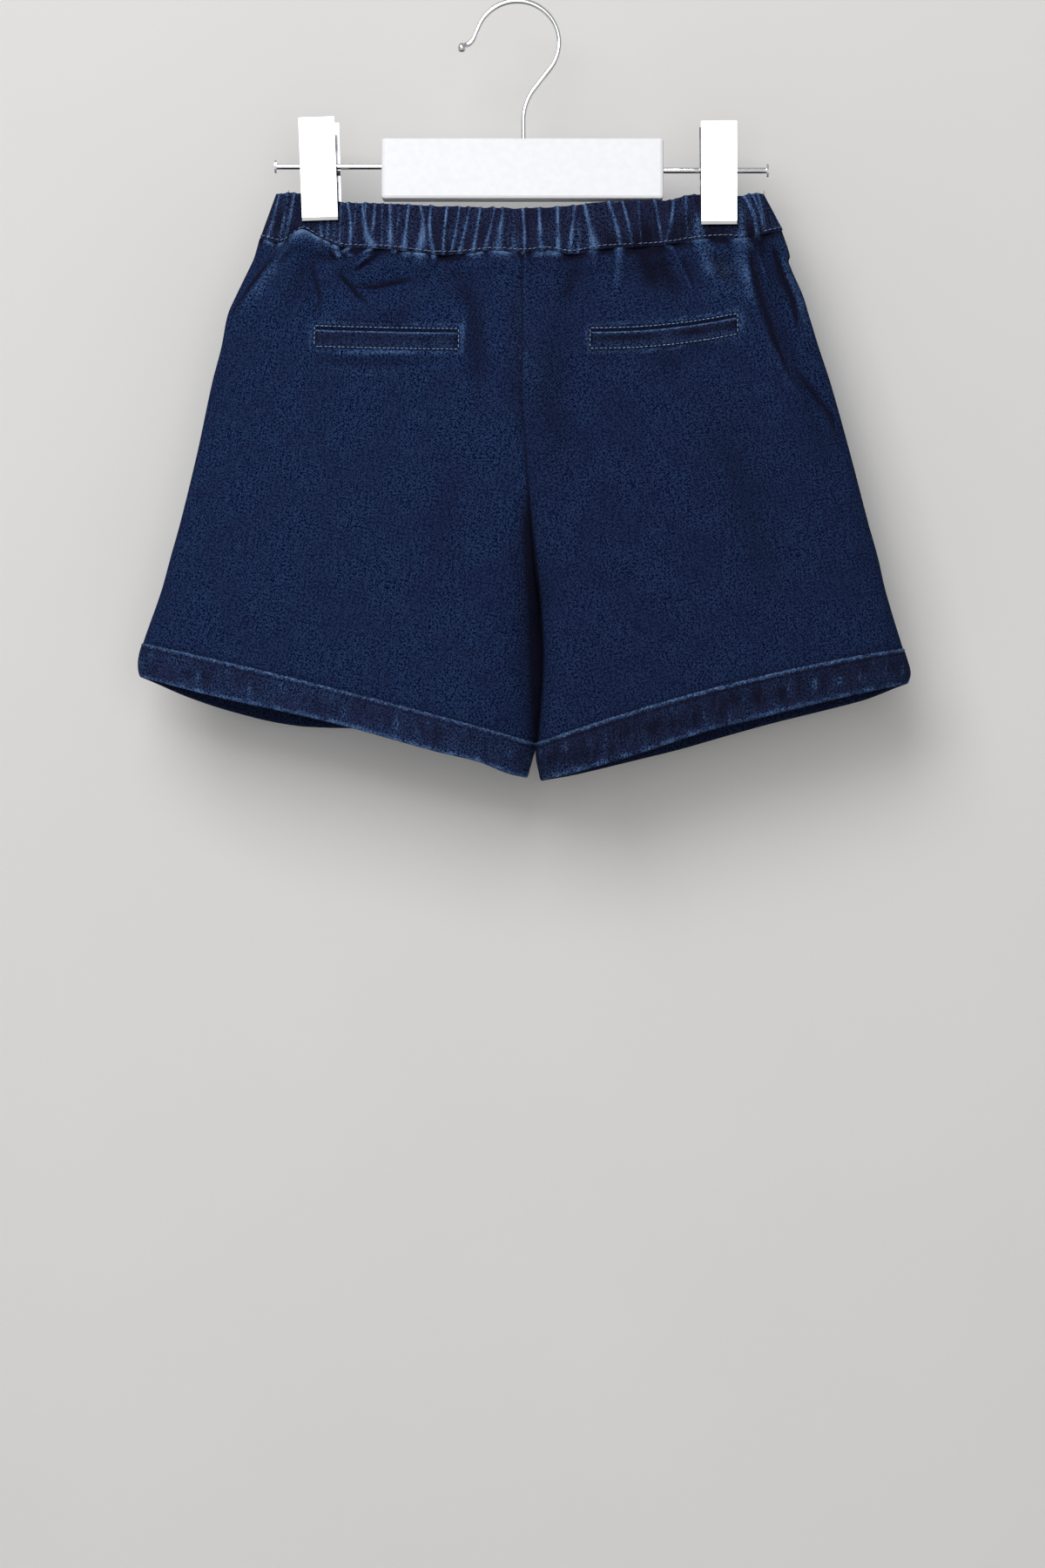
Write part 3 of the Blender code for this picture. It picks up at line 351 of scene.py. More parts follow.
# Tones along lines of points: painted shade in the creases and painted highlights on their flanks, with
# broad darker and paler patches; light, or dark where the amount is negative, as the creases are given.
BACK_TONES = (
    # amount, softness left, softness right, points
    (0.22, 15, 15, ((117, 26), (119, 60))),
    (0.18, 19, 19, ((5, 34), (6, 130))),
    (0.2, 16, 16, ((62, 26), (66, 56))),
    (-0.75, 1.6, 0.9, ((-139, 25), (-148, 36), (-157.5, 48), (-168, 63))),
    (0.5, 1.2, 2.6, ((-128.5, 16), (-125, 11.5), (-120.5, 13.5), (-116.5, 18))),
    (0.22, 2, 6, ((-137, 26), (-146, 38), (-155, 50), (-164, 62))),
    (-0.5, 2.4, 2.4, ((-121, 27.5), (-112, 29.2), (-103, 28.5))),
    (-0.3, 5, 3, ((-124, 32), (-129, 44), (-133, 56))),
    (-0.7, 0.9, 1.6, ((-121, 28), (-119.8, 38), (-117.5, 48), (-116, 53), (-119, 64))),
    (-1.05, 1.2, 1.1, ((-82, 26.6), (-88, 31.5), (-97, 37.8))),
    (0.3, 1.4, 1.4, ((-85.5, 25.2), (-92, 31), (-99, 36.5))),
    (-0.95, 0.9, 1.7, ((-107.5, 36), (-100, 44.5), (-94, 51.5), (-87, 57.5))),
    (-0.85, 1.1, 2.2, ((-96, 45.8), (-84, 46.2), (-74, 44.2), (-58, 41.5))),
    (0.1, 3, 5, ((-92, 50), (-76, 50), (-60, 48))),
    (-0.42, 5, 6, ((-48, 28), (-37, 42), (-29, 55), (-26.5, 70), (-25, 118))),
    (-0.65, 2, 2, ((-47, 27.5), (-42, 28.5), (-36.5, 28))),
    (-0.4, 1.5, 1.5, ((-113, 67.4), (-84, 66.6), (-52, 67.6))),
    (-0.35, 3.5, 4, ((-84, 61), (-76, 62.5), (-62, 61))),
    (0.22, 2.6, 3, ((-33, 60), (-34, 72), (-35, 86))),
    (0.2, 1.5, 1.6, ((-116, 84.6), (-100, 84.8), (-78, 84.4), (-50, 84))),
    (-0.3, 2.2, 2.2, ((-120, 89), (-96, 90.2), (-70, 90.6), (-44, 88.8))),
    (0.1, 2.4, 3.2, ((-118, 95), (-90, 96.6), (-54, 94.6))),
    (-1.6, 4.5, 0.9, ((2.6, 164), (5, 184), (8.4, 212), (10.4, 240), (10.6, 268), (7, 320))),
    (-0.5, 12, 1, ((2, 176), (7.4, 214), (9.6, 250), (8, 300))),
    (-0.35, 6, 1.2, ((-3.5, 44), (-2.5, 70), (-2, 100), (-2, 140))),
    (-0.4, 4, 4, ((33, 32), (27, 46), (22, 58))),
    (0.3, 1.8, 2.2, ((40.8, 27), (41, 34), (40, 44))),
    (0.36, 2, 2.4, ((55.5, 24), (55, 34), (53, 52))),
    (-0.6, 6, 7, ((64, 23.5), (69, 30), (73, 39), (80, 50))),
    (-0.9, 0.8, 1, ((-111, 24), (-108.5, 27.5), (-107.5, 30.5))),
    (-0.9, 0.8, 1.2, ((-104.5, 24.5), (-102, 28), (-100.5, 31.5))),
    (-0.7, 0.7, 1, ((-97, 25), (-95, 27.5), (-94, 30))),
    (0.45, 1, 1.3, ((-108, 24.5), (-106, 27), (-104.5, 29))),
    (0.4, 1, 1.3, ((-101.5, 25.5), (-99, 27.5), (-97, 28.5))),
    (0.45, 1.4, 2.2, ((4.5, 28.5), (12, 27.6), (21, 28), (25, 29.5))),
    (-0.45, 5, 4, ((76, 23), (83, 36), (88, 48), (86, 56))),
    (0.34, 1.6, 1, ((86, 23), (91, 34), (97, 48), (99.5, 56))),
    (-0.45, 0.8, 2.2, ((90, 28), (95, 37), (98.5, 46))),
    (0.34, 4, 3.5, ((102, 20), (104, 32), (110, 44))),
    (-0.55, 1.2, 3.5, ((107.5, 28), (113.5, 38.5), (121, 47))),
    (-0.3, 5, 4, ((112, 24), (119, 34), (124, 44))),
    (0.42, 3.5, 1.3, ((124, 21), (127.8, 34), (131.5, 52), (136.5, 65))),
    (0.3, 3, 1.6, ((136.5, 66), (141, 77), (151.5, 100), (160, 116))),
    (-1, 0.9, 1.7, ((128.5, 17), (130.4, 28), (135.6, 52), (140, 66), (143.6, 78), (154.8, 103))),
    (-0.32, 0.9, 5.5, ((129, 14), (131.5, 30), (134, 46), (139, 62), (155, 103))),
    (-0.5, 3, 3, ((134, 14), (137, 22), (139, 30))),
    (-0.2, 4, 4, ((142, 30), (147, 42), (150, 54))),
    (0.36, 1, 1, ((134.2, 24), (136.6, 32), (140, 44))),
    (-1, 1.8, 0.8, ((143, 20), (146, 29), (149.6, 39), (155.4, 53), (158.6, 72))),
    (-0.28, 3.6, 1, ((143, 22), (149.6, 39), (155.4, 53), (158.6, 72))),
    (0.42, 1.2, 3.4, ((146, 22), (151.6, 38), (158, 53), (163, 72), (168, 88))),
    (-0.6, 2.4, 1.6, ((157, 93), (168.5, 108), (177, 120), (182, 140))),
    (-0.28, 3, 3, ((74, 90), (84, 90.5), (94, 88))),
    (0.2, 2.4, 3, ((42, 93), (66, 94.5), (98, 92))),
    (-0.3, 1.8, 1.8, ((39, 82.6), (62, 83.6), (100, 79.6), (123, 75))),
    (0.25, 2, 2.2, ((126, 60), (127.5, 68), (126, 76))),
    (0.09, 7, 9, ((-118, 93), (-90, 97), (-50, 93.5))),
    (0.1, 6, 8, ((40, 94), (66, 96), (100, 92))),
    (0.11, 1.5, 8, ((3, 46), (2, 90), (4, 140), (8, 196))),
    (-0.22, 8, 10, ((18, 70), (16, 110), (20, 160))),
    (-0.16, 14, 14, ((110, 110), (128, 170), (140, 230))),
    (0.05, 16, 16, ((-120, 110), (-130, 170), (-150, 230))),
    (-0.14, 12, 12, ((-40, 130), (-44, 180), (-40, 240))),
)
# The front's tones follow its creases: painted shade in the troughs and painted highlights on the ridges.
FRONT_TONES = tuple((0.12 * height, left, right, line) for height, left, right, line in FRONT_CREASES)
TONES = {-1: BACK_TONES, 1: FRONT_TONES}

# Worn streaks along the back waistband's ridges.
BACK_STREAKS = (
    # x at the top edge, half way down and at the seam, share there and there, half width there and there
    (-139.3, -142.5, -146.5, 0.6, 0.45, 0.7, 1.2),
    (-134.5, -136.5, -139.5, 0.3, 0.4, 0.7, 1.2),
    (-130.5, -133, -136, 0.75, 0.5, 0.8, 1.2),
    (-115.5, -115.5, -115.5, 0.3, 0.45, 0.8, 1.3),
    (-111.5, -111.5, -111.5, 0.3, 0.45, 0.8, 1.2),
    (-108, -108, -108, 0.3, 0.4, 0.8, 1.1),
    (-104, -104.5, -105, 0.5, 0.45, 0.7, 1.1),
    (-100.5, -98.5, -99.5, 0.8, 0.6, 0.7, 1.3),
    (-95.5, -96, -96, 0.4, 0.1, 0.6, 0.8),
    (-91.5, -90, -85.5, 0.75, 0.62, 0.7, 3),
    (-89.5, -90, -88.5, 0.7, 0.55, 0.6, 1.6),
    (-84.5, -85.5, -88, 0.8, 0.3, 0.7, 1.2),
    (-80, -80.5, -80.5, 0.45, 0.15, 0.6, 0.9),
    (-76, -75.5, -76, 0.85, 0.62, 0.8, 2.2),
    (-70, -71.5, -72, 0.45, 0.1, 0.7, 0.8),
    (-65, -66.5, -68, 0.8, 0.62, 0.7, 2),
    (-58.5, -57, -59.5, 0.85, 0.72, 0.8, 3.2),
    (-52, -53, -50.5, 0.8, 0.6, 0.8, 1.5),
    (-43, -44.5, -45.5, 0.85, 0.45, 0.6, 1.2),
    (-36, -38, -41, 0.8, 0.5, 0.6, 1.1),
    (-30, -33, -36, 0.8, 0.55, 0.6, 1.4),
    (-24, -26, -28.5, 0.8, 0.6, 0.7, 1.6),
    (-16, -18.5, -22, 0.6, 0.52, 0.6, 1.4),
    (-11, -12.5, -14, 0.6, 0.6, 0.8, 3),
    (-6, -4.5, -5, 0.12, 0.32, 1, 3),
    (0, 1, 1, 0.85, 0.5, 0.7, 1),
    (9.5, 10, 11, 0.8, 0.6, 0.8, 2),
    (20, 20.3, 20.5, 0.85, 0.62, 0.8, 1.5),
    (30, 28.5, 27, 0.8, 0.6, 0.7, 1.6),
    (32, 32, 32, 0, 0.5, 1, 1.8),
    (35.5, 38.5, 41.5, 0.85, 0.62, 0.9, 2.8),
    (49, 53.5, 56, 0.85, 0.4, 0.9, 1.6),
    (57, 60.5, 63, 0.85, 0.25, 0.7, 1),
    (66.5, 67, 68, 0.4, 0.15, 0.6, 0.9),
    (75.5, 78, 80, 0.8, 0.15, 0.7, 1),
    (86, 85, 81.5, 0.85, 0.2, 0.8, 1.4),
    (93.5, 94, 95, 0.6, 0.15, 0.8, 0.8),
    (97, 100, 101, 0.1, 0.62, 1, 3.5),
    (124, 125, 126, 0.2, 0.6, 1.5, 2.6),
    (126.5, 132, 134, 0.8, 0.35, 0.7, 1),
    (131, 136.5, 137, 0.8, 0.2, 0.7, 1),
    (128.8, 133, 135.5, 0.6, 0.3, 0.6, 0.8),
    (134.5, 137.5, 139, 0.7, 0.2, 0.6, 0.8),
    (139.5, 145, 149, 0.45, 0.4, 1.2, 1.5),
)
# Loose thread ends above the waistband's top edge.
FRAYED = (
    # x and drop of the foot, x and drop of the tip, sideways bow
    (-134.6, -8, -133.9, -9.9, 0.15),
    (137, -7.4, 138.5, -9.4, 0.25),
    (137.2, -7.2, 139, -8, -0.2),
    (134.6, -7.9, 135, -9, 0.1),
    (-68, -0.9, -68.5, -2.1, 0.1),
    (22.4, 0.2, 22.9, -0.9, -0.1),
)
FRAYED_INSIDE, FRAYED_ROOT = 1.2, 1.5  # how far inside the band's face, and below its edge, they start
STITCHES = {
    # pitch, length of a stitch, radius of the thread, how high it bows, how far it leans
    "hem": (4.2, 3.1, 0.26, 0.3, 0.0),
    "pocket": (2.5, 1.9, 0.21, 0.3, 0.0),
    "waist": (3.0, 2.3, 0.16, 0.26, 0.3),
}
HEM_SEWN, BAND_SEWN = (0.06, 0.15), (0.93, 0.35)  # a seam's level, and its height above the cloth
# Where the waistband's stitches are lost in a fold, from and to.
STITCHES_SUNK = ((63.5, 66.5), (126.5, 137.5))
# The deepest painted shade between the gathers of the back waistband.
BACK_HOLLOWS = (
    # x, level from 0 at the top edge to 1 at the seam, half width, half height, share
    (69, 0.86, 8.5, 0.28, 0.95),
    (-43, 0.95, 6, 0.22, 0.8),
    (50, 0.9, 4.5, 0.25, 0.7),
    (89, 0.75, 6, 0.3, 0.6),
    (133, 0.95, 6.5, 0.3, 1),
    (112, 0.95, 7, 0.3, 0.7),
    (-117, 0.5, 9, 0.25, 0.6),
    (-140, 0.55, 3, 0.4, 0.4),
)


# ---------------------------------------------------------------- curves and blends
def smooth(table, column, at):
    """A smooth curve through one column of a table whose first column is the place."""
    rows = np.array([[row[0], row[column]] for row in table], float)
    xs, ys = rows[:, 0], rows[:, 1]
    at = np.clip(at, xs[0], xs[-1])
    last = len(xs) - 1
    before, after = np.maximum(np.arange(last + 1) - 1, 0), np.minimum(np.arange(last + 1) + 1, last)
    slopes = (ys[after] - ys[before]) / (xs[after] - xs[before])
    i = np.clip(np.searchsorted(xs, at, side="right") - 1, 0, last - 1)
    span = xs[i + 1] - xs[i]
    t = (at - xs[i]) / span
    return (
        (2 * t**3 - 3 * t**2 + 1) * ys[i]
        + (t**3 - 2 * t**2 + t) * span * slopes[i]
        + (3 * t**2 - 2 * t**3) * ys[i + 1]
        + (t**3 - t**2) * span * slopes[i + 1]
    )


def ease(at, start, end):
    """0 before start, 1 after end, and an S-curve in between."""
    t = np.clip((at - start) / (end - start), 0.0, 1.0)
    return t * t * (3 - 2 * t)


def mix(a, b, t):
    """a at t = 0 and b at t = 1."""
    return a + (b - a) * t


def bump(at, middle, wide, power=2.0):
    """1 at the middle and nearly 0 two widths away."""
    return np.exp(-np.abs((at - middle) / wide) ** power)


def waves(x, y, size, seed):
    """Gentle unevenness between -1 and 1, with features about as large as size, the same every run."""
    total = 0.0
    for k in range(5):
        way = seed * 12.9898 + k * 2.399963
        step = 2 * math.pi / (size * (0.7 + 0.24 * k))
        total = total + np.sin((x * math.cos(way) + y * math.sin(way)) * step + seed * 1.7 + k * 1.3)
    return total / 5


# ---------------------------------------------------------------- the cloth's form, as in the solids
def side_x(side, drop):
    """x of a side fold."""
    return side * smooth(OUTLINE, 1 if side < 0 else 2, drop)


def leg_share(drop):
    """0 where front and back are one body, 1 from the crotch down, where each leg is a tube."""
    return np.clip((drop - CREASE_START) / (CROTCH_DROP - CREASE_START), 0.0, 1.0) ** 3


def inner_x(side, drop):
    """The centre seam, or below the crotch the inseam's fold, as one side's panel has it."""
    return smooth(INNER_LINE, 1 if side < 0 else 2, drop) + side * SIDE_GAP


def mid_y(side, across, drop):
    """The surface between front and back: the mid plane, but shifted at the inseams."""
    return INSEAM_Y[side] * ease(drop, CROTCH_DROP, CROTCH_DROP + INSEAM_TURN) * ease(across, 0.8, 1.0)


def hem_seam_drop(side, face, across):
    """The line along which panel and hem meet. across is 0 at the side fold and 1 at the inseam."""
    straight = mix(HEM_SIDE_DROP[side], HEM_INNER_DROP[side], across)
    lower = smooth(FRONT_HANGS[side], 1, across) if face > 0 else 0.0
    return straight - HEM_ARCH[side] * 4 * across * (1 - across) + lower


def band_end_share(x):
    """0 at the waistband's side folds and 1 a little way in: the quarter round of the fold."""
    low, high = BAND_ENDS_SEAM
    t = np.clip(np.minimum(x - low, high - x) / BAND_END_ROUND, 0.0, 1.0)
    return np.sqrt(1 - (1 - t) ** 2)


def waist_standoff(x):
    """How far the waistband stands from the mid plane."""
    return smooth(WAIST, 3, x) * band_end_share(x)


def body_section(across):
    """The body's section from its side fold, 0, to the centre, 1."""
    return np.sqrt(np.maximum(1 - (1 - across) ** BODY_ROUND, 0.0))


def leg_section(side, face, across):
    """A leg's section: 0 at both of its folds and 1 half way between them."""
    power = np.where(across < 0.5, LEG_ROUND_SIDE, LEG_ROUND_INNER[(side, face)])
    return np.sqrt(np.maximum(1 - np.abs(1 - 2 * across) ** power, 0.0))


def fold_height(face, x, drop):
    """The large folds of one face at a place, outwards."""
    total = 0.0
    for x0, drop0, x1, drop1, soft_left, soft_right, height in FOLDS[face]:
        long_x, long_drop = x1 - x0, drop1 - drop0
        length = math.hypot(long_x, long_drop)
        along = ((x - x0) * long_x + (drop - drop0) * long_drop) / length
        off = ((x - x0) * long_drop - (drop - drop0) * long_x) / length
        off = off * (1 if long_drop >= 0 else -1)
        soft = np.where(off < 0, soft_left, soft_right)
        lasts = ease(along, -8.0, 6.0) * (1 - ease(along, 0.55 * length, length + 12.0))
        total = total + height * lasts * np.exp(-((off / soft) ** 2))
    return total


def pucker(x, below_seam):
    """The gathers' run-out below the waistband's seam."""
    return PUCKER_HIGH * np.cos(2 * math.pi * x / PUCKER_LONG) * np.exp(-below_seam / PUCKER_FADE)


def wall_place(side, face, across, down):
    """A place on a panel: across 0 to 1 from side to centre, down 0 to 1 from waist to hem.

    Returns x, drop, how far it is below the waist seam, and the x of the seam above it.
    """
    end = BAND_ENDS_SEAM[0 if side < 0 else 1]
    seam_x = mix(end, INNER_LINE[0][1], across)

    def drop_at(share, x):
        top = smooth(WAIST, 2, x) + SEAM_CLEAR
        return top, mix(top, hem_seam_drop(side, face, share) - HEM_CLEAR, down)

    top, drop = drop_at(across, seam_x)
    x = mix(side_x(side, drop_at(0.0, end)[1]), inner_x(side, drop_at(1.0, 0.0)[1]), across)
    return x, drop, drop - top, seam_x


def wall_stand(side, face, across, drop, x, below_seam, seam_x, fine=0.0):
    """How far a panel's outer surface stands from the mid surface."""
    legs = leg_share(drop)
    fullness = smooth(DEPTHS, 1 if face < 0 else 2, drop)
    body = mix(body_section(across), leg_section(side, face, across), legs) * fullness
    puff = PUFF_HIGH * np.sin(math.pi * ease(below_seam, 0.0, PUFF_REACH)) - BAND_EDGE_PULL
    waist = waist_standoff(seam_x) + (puff + pucker(x, below_seam)) * band_end_share(seam_x)
    stand = mix(waist, body, ease(below_seam, 0.0, WAIST_REACH))
    at_side = ease(across, 0.0, SIDE_SOFT)
    at_inner = 1 - legs * (1 - ease(1 - across, 0.0, INNER_SOFT))
    stand = stand + (fold_height(face, x, drop) + fine) * at_side * at_inner
    return np.maximum(stand, SIDE_GAP)


# ---------------------------------------------------------------- finer form
def crease_share(x, drop, line, soft_left, soft_right):
    """1 along a line of points, falling off to its two sides, and tapered at its two ends."""
    line = np.array(line, float)
    steps = np.diff(line, axis=0)
    lengths = np.hypot(steps[:, 0], steps[:, 1])
    starts = np.concatenate([[0.0], np.cumsum(lengths)])
    nearest = np.full(np.broadcast(x, drop).shape, 1e9)
    signed = np.zeros_like(nearest)
    where = np.zeros_like(nearest)
    for (x0, drop0), (dx, dd), length, start in zip(line[:-1], steps, lengths, starts):
        t = np.clip(((x - x0) * dx + (drop - drop0) * dd) / length**2, 0.0, 1.0)
        away = np.hypot(x - x0 - t * dx, drop - drop0 - t * dd)
        side = np.sign((x - x0) * dd - (drop - drop0) * dx)
        closer = away < nearest
        nearest = np.where(closer, away, nearest)
        signed = np.where(closer, side * away, signed)
        where = np.where(closer, start + t * length, where)
    t = where / starts[-1]
    taper = ease(t, -0.12, 0.3) * (1 - ease(t, 0.6, 1.08))
    soft = np.where(signed < 0, soft_left, soft_right)
    return taper * np.exp(-((signed / soft) ** 2))


def creases(face, x, drop):
    """Height of the finer creases, outwards."""
    height = np.zeros(np.broadcast(x, drop).shape)
    for high, soft_left, soft_right, line in CREASES[face]:
        height = height + high * crease_share(x, drop, line, soft_left, soft_right)
    return height


def tones(face, x, drop):
    """How light and how dark the tones make each place, each from 0 up."""
    light = np.zeros(np.broadcast(x, drop).shape)
    dark = np.zeros_like(light)
    for amount, soft_left, soft_right, line in TONES[face]:
        share = crease_share(x, drop, line, soft_left, soft_right) * abs(amount)
        light, dark = (light + share, dark) if amount > 0 else (light, dark + share)
    return light, dark


def gathers(face):
    """Rows of (x at top, x at seam, height) of one face's gathers, from left to right."""
    if face < 0:
        return list(BACK_GATHERS)
    rows = []
    for i in range(FRONT_GATHER_COUNT):
        x = mix(*FRONT_GATHER_ENDS, i / (FRONT_GATHER_COUNT - 1)) + 1.3 * math.sin(2.4 * i)
        lean = 1.8 * math.sin(1.7 * i) + 0.04 * x
        clipped = min(abs(x - clip_x) for clip_x in CLIPPED_X) < CLIPPED_HALF
        rows.append((x, x + lean, 0.5 if clipped else 1.2 + 0.3 * math.sin(3.1 * i)))
    return rows


def ridges(face, seam_x, level):
    """Height and crispness of the waistband's gathers: narrow pinched ridges between broad troughs."""
    height = np.zeros(np.broadcast(seam_x, level).shape)
    crest = np.zeros_like(height)
    for i, (_, seam, high) in enumerate(gathers(face)):
        wide = 1.05 + 0.25 * math.sin(4.7 * i + face) + (0.75 + 0.45 * math.sin(2.9 * i)) * level**1.6
        fades_top = 0.45 * max(0.0, math.sin(5.3 * i + 1.0))
        fades_low = 0.5 * max(0.0, math.sin(3.7 * i + 2.0))
        lasts = 1 - fades_top * (1 - ease(level, 0.0, 0.5)) - fades_low * ease(level, 0.45, 1.0)
        share = np.exp(-np.abs((seam_x - seam) / wide) ** 1.5) * lasts
        height = height + high * share
        crest = np.maximum(crest, share * min(high, 1.2) / 1.2)
    return height, crest


def streaks(face, x, level):
    """How worn each place of the waistband is along its ridges."""
    if face < 0:
        rows = BACK_STREAKS
    else:
        rows = [(top, (top + seam) / 2, seam, 0.7, 0.5, 0.7, 1.6) for top, seam, _ in gathers(face)]
    worn = np.zeros(np.broadcast(x, level).shape)
    for i, (top, middle, seam, at_top, at_seam, thin, wide) in enumerate(rows):
        line = top * (1 - level) * (1 - 2 * level) + middle * 4 * level * (1 - level)
        line = line + seam * level * (2 * level - 1)
        uneven = 1 + 0.22 * np.sin(9.0 * level + 2.1 * i)
        share = mix(at_top, at_seam, level**1.3) * uneven * bump(x, line, mix(thin, wide, level**1.7), 1.6)
        worn = np.maximum(worn, share)
    return worn


# ---------------------------------------------------------------- meshes
def to_world(points):
    """The garment's (x, y, drop) in millimetres to the part's frame in metres."""
    points = np.asarray(points, float)
    place = np.stack([points[..., 0] + GARMENT_X, points[..., 1], GARMENT_TOP_Z - points[..., 2]], axis=-1)
    return place * MM


def unit(ways):
    """The ways at length 1."""
    return ways / np.maximum(np.linalg.norm(ways, axis=-1, keepdims=True), 1e-9)


def inward(grid, sign, closed):
    """Unit vectors from a grid of outer points to the inside, by its rows' and columns' directions."""
    if closed:
        along = np.roll(grid, -1, axis=1) - np.roll(grid, 1, axis=1)
    else:
        along = np.empty_like(grid)
        along[:, 1:-1] = grid[:, 2:] - grid[:, :-2]
        along[:, 0], along[:, -1] = grid[:, 1] - grid[:, 0], grid[:, -1] - grid[:, -2]
    down = np.empty_like(grid)
    down[1:-1] = grid[2:] - grid[:-2]
    down[0], down[-1] = grid[1] - grid[0], grid[-1] - grid[-2]
    return unit(np.cross(along, down)) * sign


def add_mesh(name, points, faces, looks, smooth_angle=50, uvs=None, shares=None, look_of=None):
    """A mesh object. uvs has a pair for each corner of each face, and shares one number for each point."""
    mesh = bpy.data.meshes.new(name)
    mesh.from_pydata([tuple(p) for p in points], [], [tuple(int(i) for i in f) for f in faces])
    for look in looks:
        mesh.materials.append(look)
    if look_of is not None:
        mesh.polygons.foreach_set("material_index", np.asarray(look_of, np.int32))
    if uvs is not None:
        layer = mesh.uv_layers.new(name="cloth")
        layer.data.foreach_set("uv", np.asarray(uvs, np.float32).ravel())
    for key, values in (shares or {}).items():
        mesh.attributes.new(key, "FLOAT", "POINT").data.foreach_set(
            "value", np.asarray(values, np.float32).ravel()
        )
    mesh.shade_smooth()
    mesh.set_sharp_from_angle(angle=math.radians(smooth_angle))
    made = bpy.data.objects.new(name, mesh)
    bpy.context.scene.collection.objects.link(made)
    return made


def cloth_lengths(grid, closed):
    """The flat (along, down) of each point of a grid of cloth, in millimetres."""
    steps = np.linalg.norm(np.diff(grid, axis=1, append=grid[:, :1]), axis=-1)
    along = np.concatenate([np.zeros((len(grid), 1)), np.cumsum(steps, axis=1)], axis=1)
    if not closed:
        along = along[:, :-1]
    else:
        along = np.broadcast_to(along.mean(axis=0), along.shape)
    drops = np.linalg.norm(np.diff(grid, axis=0), axis=-1).mean(axis=1)
    down = np.concatenate([[0.0], np.cumsum(drops)])
    return along, np.broadcast_to(down[:, None], along.shape)


def thick_cloth(name, outer, inner, ways, looks, closed=False, shares=None, origin=(0.0, 0.0)):
    """A closed shell between two grids of the same size: an open sheet, or a tube if closed.

    The second look, where there is one, is the inner side's.
    """
    rows, columns = outer.shape[:2]
    steps = columns if closed else columns - 1
    inside = rows * columns
    j, i = (grid.ravel() for grid in np.meshgrid(np.arange(steps), np.arange(rows - 1)))

    def at(row, column, layer):
        return layer * inside + row * columns + column % columns

    quads = [
        np.stack([at(i, j, 0), at(i, j + 1, 0), at(i + 1, j + 1, 0), at(i + 1, j, 0)], axis=1),
        np.stack([at(i, j, 1), at(i + 1, j, 1), at(i + 1, j + 1, 1), at(i, j + 1, 1)], axis=1),
    ]
    along, down = cloth_lengths(outer, closed)
    flat = np.stack([along + origin[0], down + origin[1]], axis=-1)
    corners = [np.stack([flat[i, j], flat[i, j + 1], flat[i + 1, j + 1], flat[i + 1, j]], axis=1)]
    corners.append(corners[0][:, [0, 3, 2, 1]])
    look_of = [np.zeros(len(i), int), np.full(len(i), len(looks) - 1)]
    # Each border has its places and the next ones along it, and whether its faces are turned round.
    j, i = np.arange(steps), np.arange(rows - 1)
    borders = [(0 * j, j, 0 * j, j + 1, False), (0 * j + rows - 1, j, 0 * j + rows - 1, j + 1, True)]
    if not closed:
        end = 0 * i + columns - 1
        borders += [(i, 0 * i, i + 1, 0 * i, True), (i, end, i + 1, end, False)]
    for row, column, next_row, next_column, turned in borders:
        one, other = (row, column), (next_row, next_column)
        rim = [at(*one, 0), at(*one, 1), at(*other, 1), at(*other, 0)]
        rim_uv = [flat[one], flat[one], flat[other], flat[other]]
        if turned:
            rim, rim_uv = rim[::-1], rim_uv[::-1]
        quads.append(np.stack(rim, axis=1))
        corners.append(np.stack(rim_uv, axis=1))
        look_of.append(np.zeros(len(row), int))
    faces, corners = np.concatenate(quads), np.concatenate(corners)
    # The outer side's first corner order is turned round where it would face in.
    world_outer = to_world(outer)
    corner = world_outer[:-1, :-1]
    normal = np.cross(world_outer[:-1, 1:] - corner, world_outer[1:, :-1] - corner)
    towards = ways[:-1, : normal.shape[1]] * np.array([1.0, 1.0, -1.0])
    if (normal * towards).sum() > 0:
        faces, corners = faces[:, ::-1], corners[:, ::-1]
    points = np.concatenate([world_outer.reshape(-1, 3), to_world(inner).reshape(-1, 3)])
    shares = {
        key: np.concatenate([np.broadcast_to(v, outer.shape[:2]).ravel() for v in pair])
        for key, pair in (shares or {}).items()
    }
    return add_mesh(name, points, faces, looks, 60, corners, shares, np.concatenate(look_of))


def round_bars(name, rings, look, smooth_angle=80):
    """Closed bars in one mesh. rings is (bars, rings of each, points of each ring, 3), in metres."""
    bars, stations, sides = rings.shape[:3]
    k, i, b = np.meshgrid(np.arange(sides), np.arange(stations - 1), np.arange(bars), indexing="ij")
    k, i, b = k.ravel(), i.ravel(), b.ravel()

    def at(bar, station, corner):
        return (bar * stations + station) * sides + corner % sides

    faces = np.stack([at(b, i, k), at(b, i, k + 1), at(b, i + 1, k + 1), at(b, i + 1, k)], axis=1).tolist()
    corner = np.arange(sides)
    for bar in range(bars):
        faces.append(at(bar, 0, corner)[::-1].tolist())
        faces.append(at(bar, stations - 1, corner).tolist())
    return add_mesh(name, rings.reshape(-1, 3), faces, [look], smooth_angle)


def along_path(path, ways, closed=False):
    """A function from distances along a path to its points, outward ways and directions."""
    if closed:
        path, ways = np.concatenate([path, path[:1]]), np.concatenate([ways, ways[:1]])
    steps = np.linalg.norm(np.diff(path, axis=0), axis=1)
    at = np.concatenate([[0.0], np.cumsum(steps)])

    def sample(distance):
        point = np.stack([np.interp(distance, at, path[:, c]) for c in range(3)], axis=-1)
        way = unit(np.stack([np.interp(distance, at, ways[:, c]) for c in range(3)], axis=-1))
        ahead = np.stack([np.interp(distance + 0.4, at, path[:, c]) for c in range(3)], axis=-1)
        behind = np.stack([np.interp(distance - 0.4, at, path[:, c]) for c in range(3)], axis=-1)
        return point, way, unit(ahead - behind)

    return sample, at[-1]


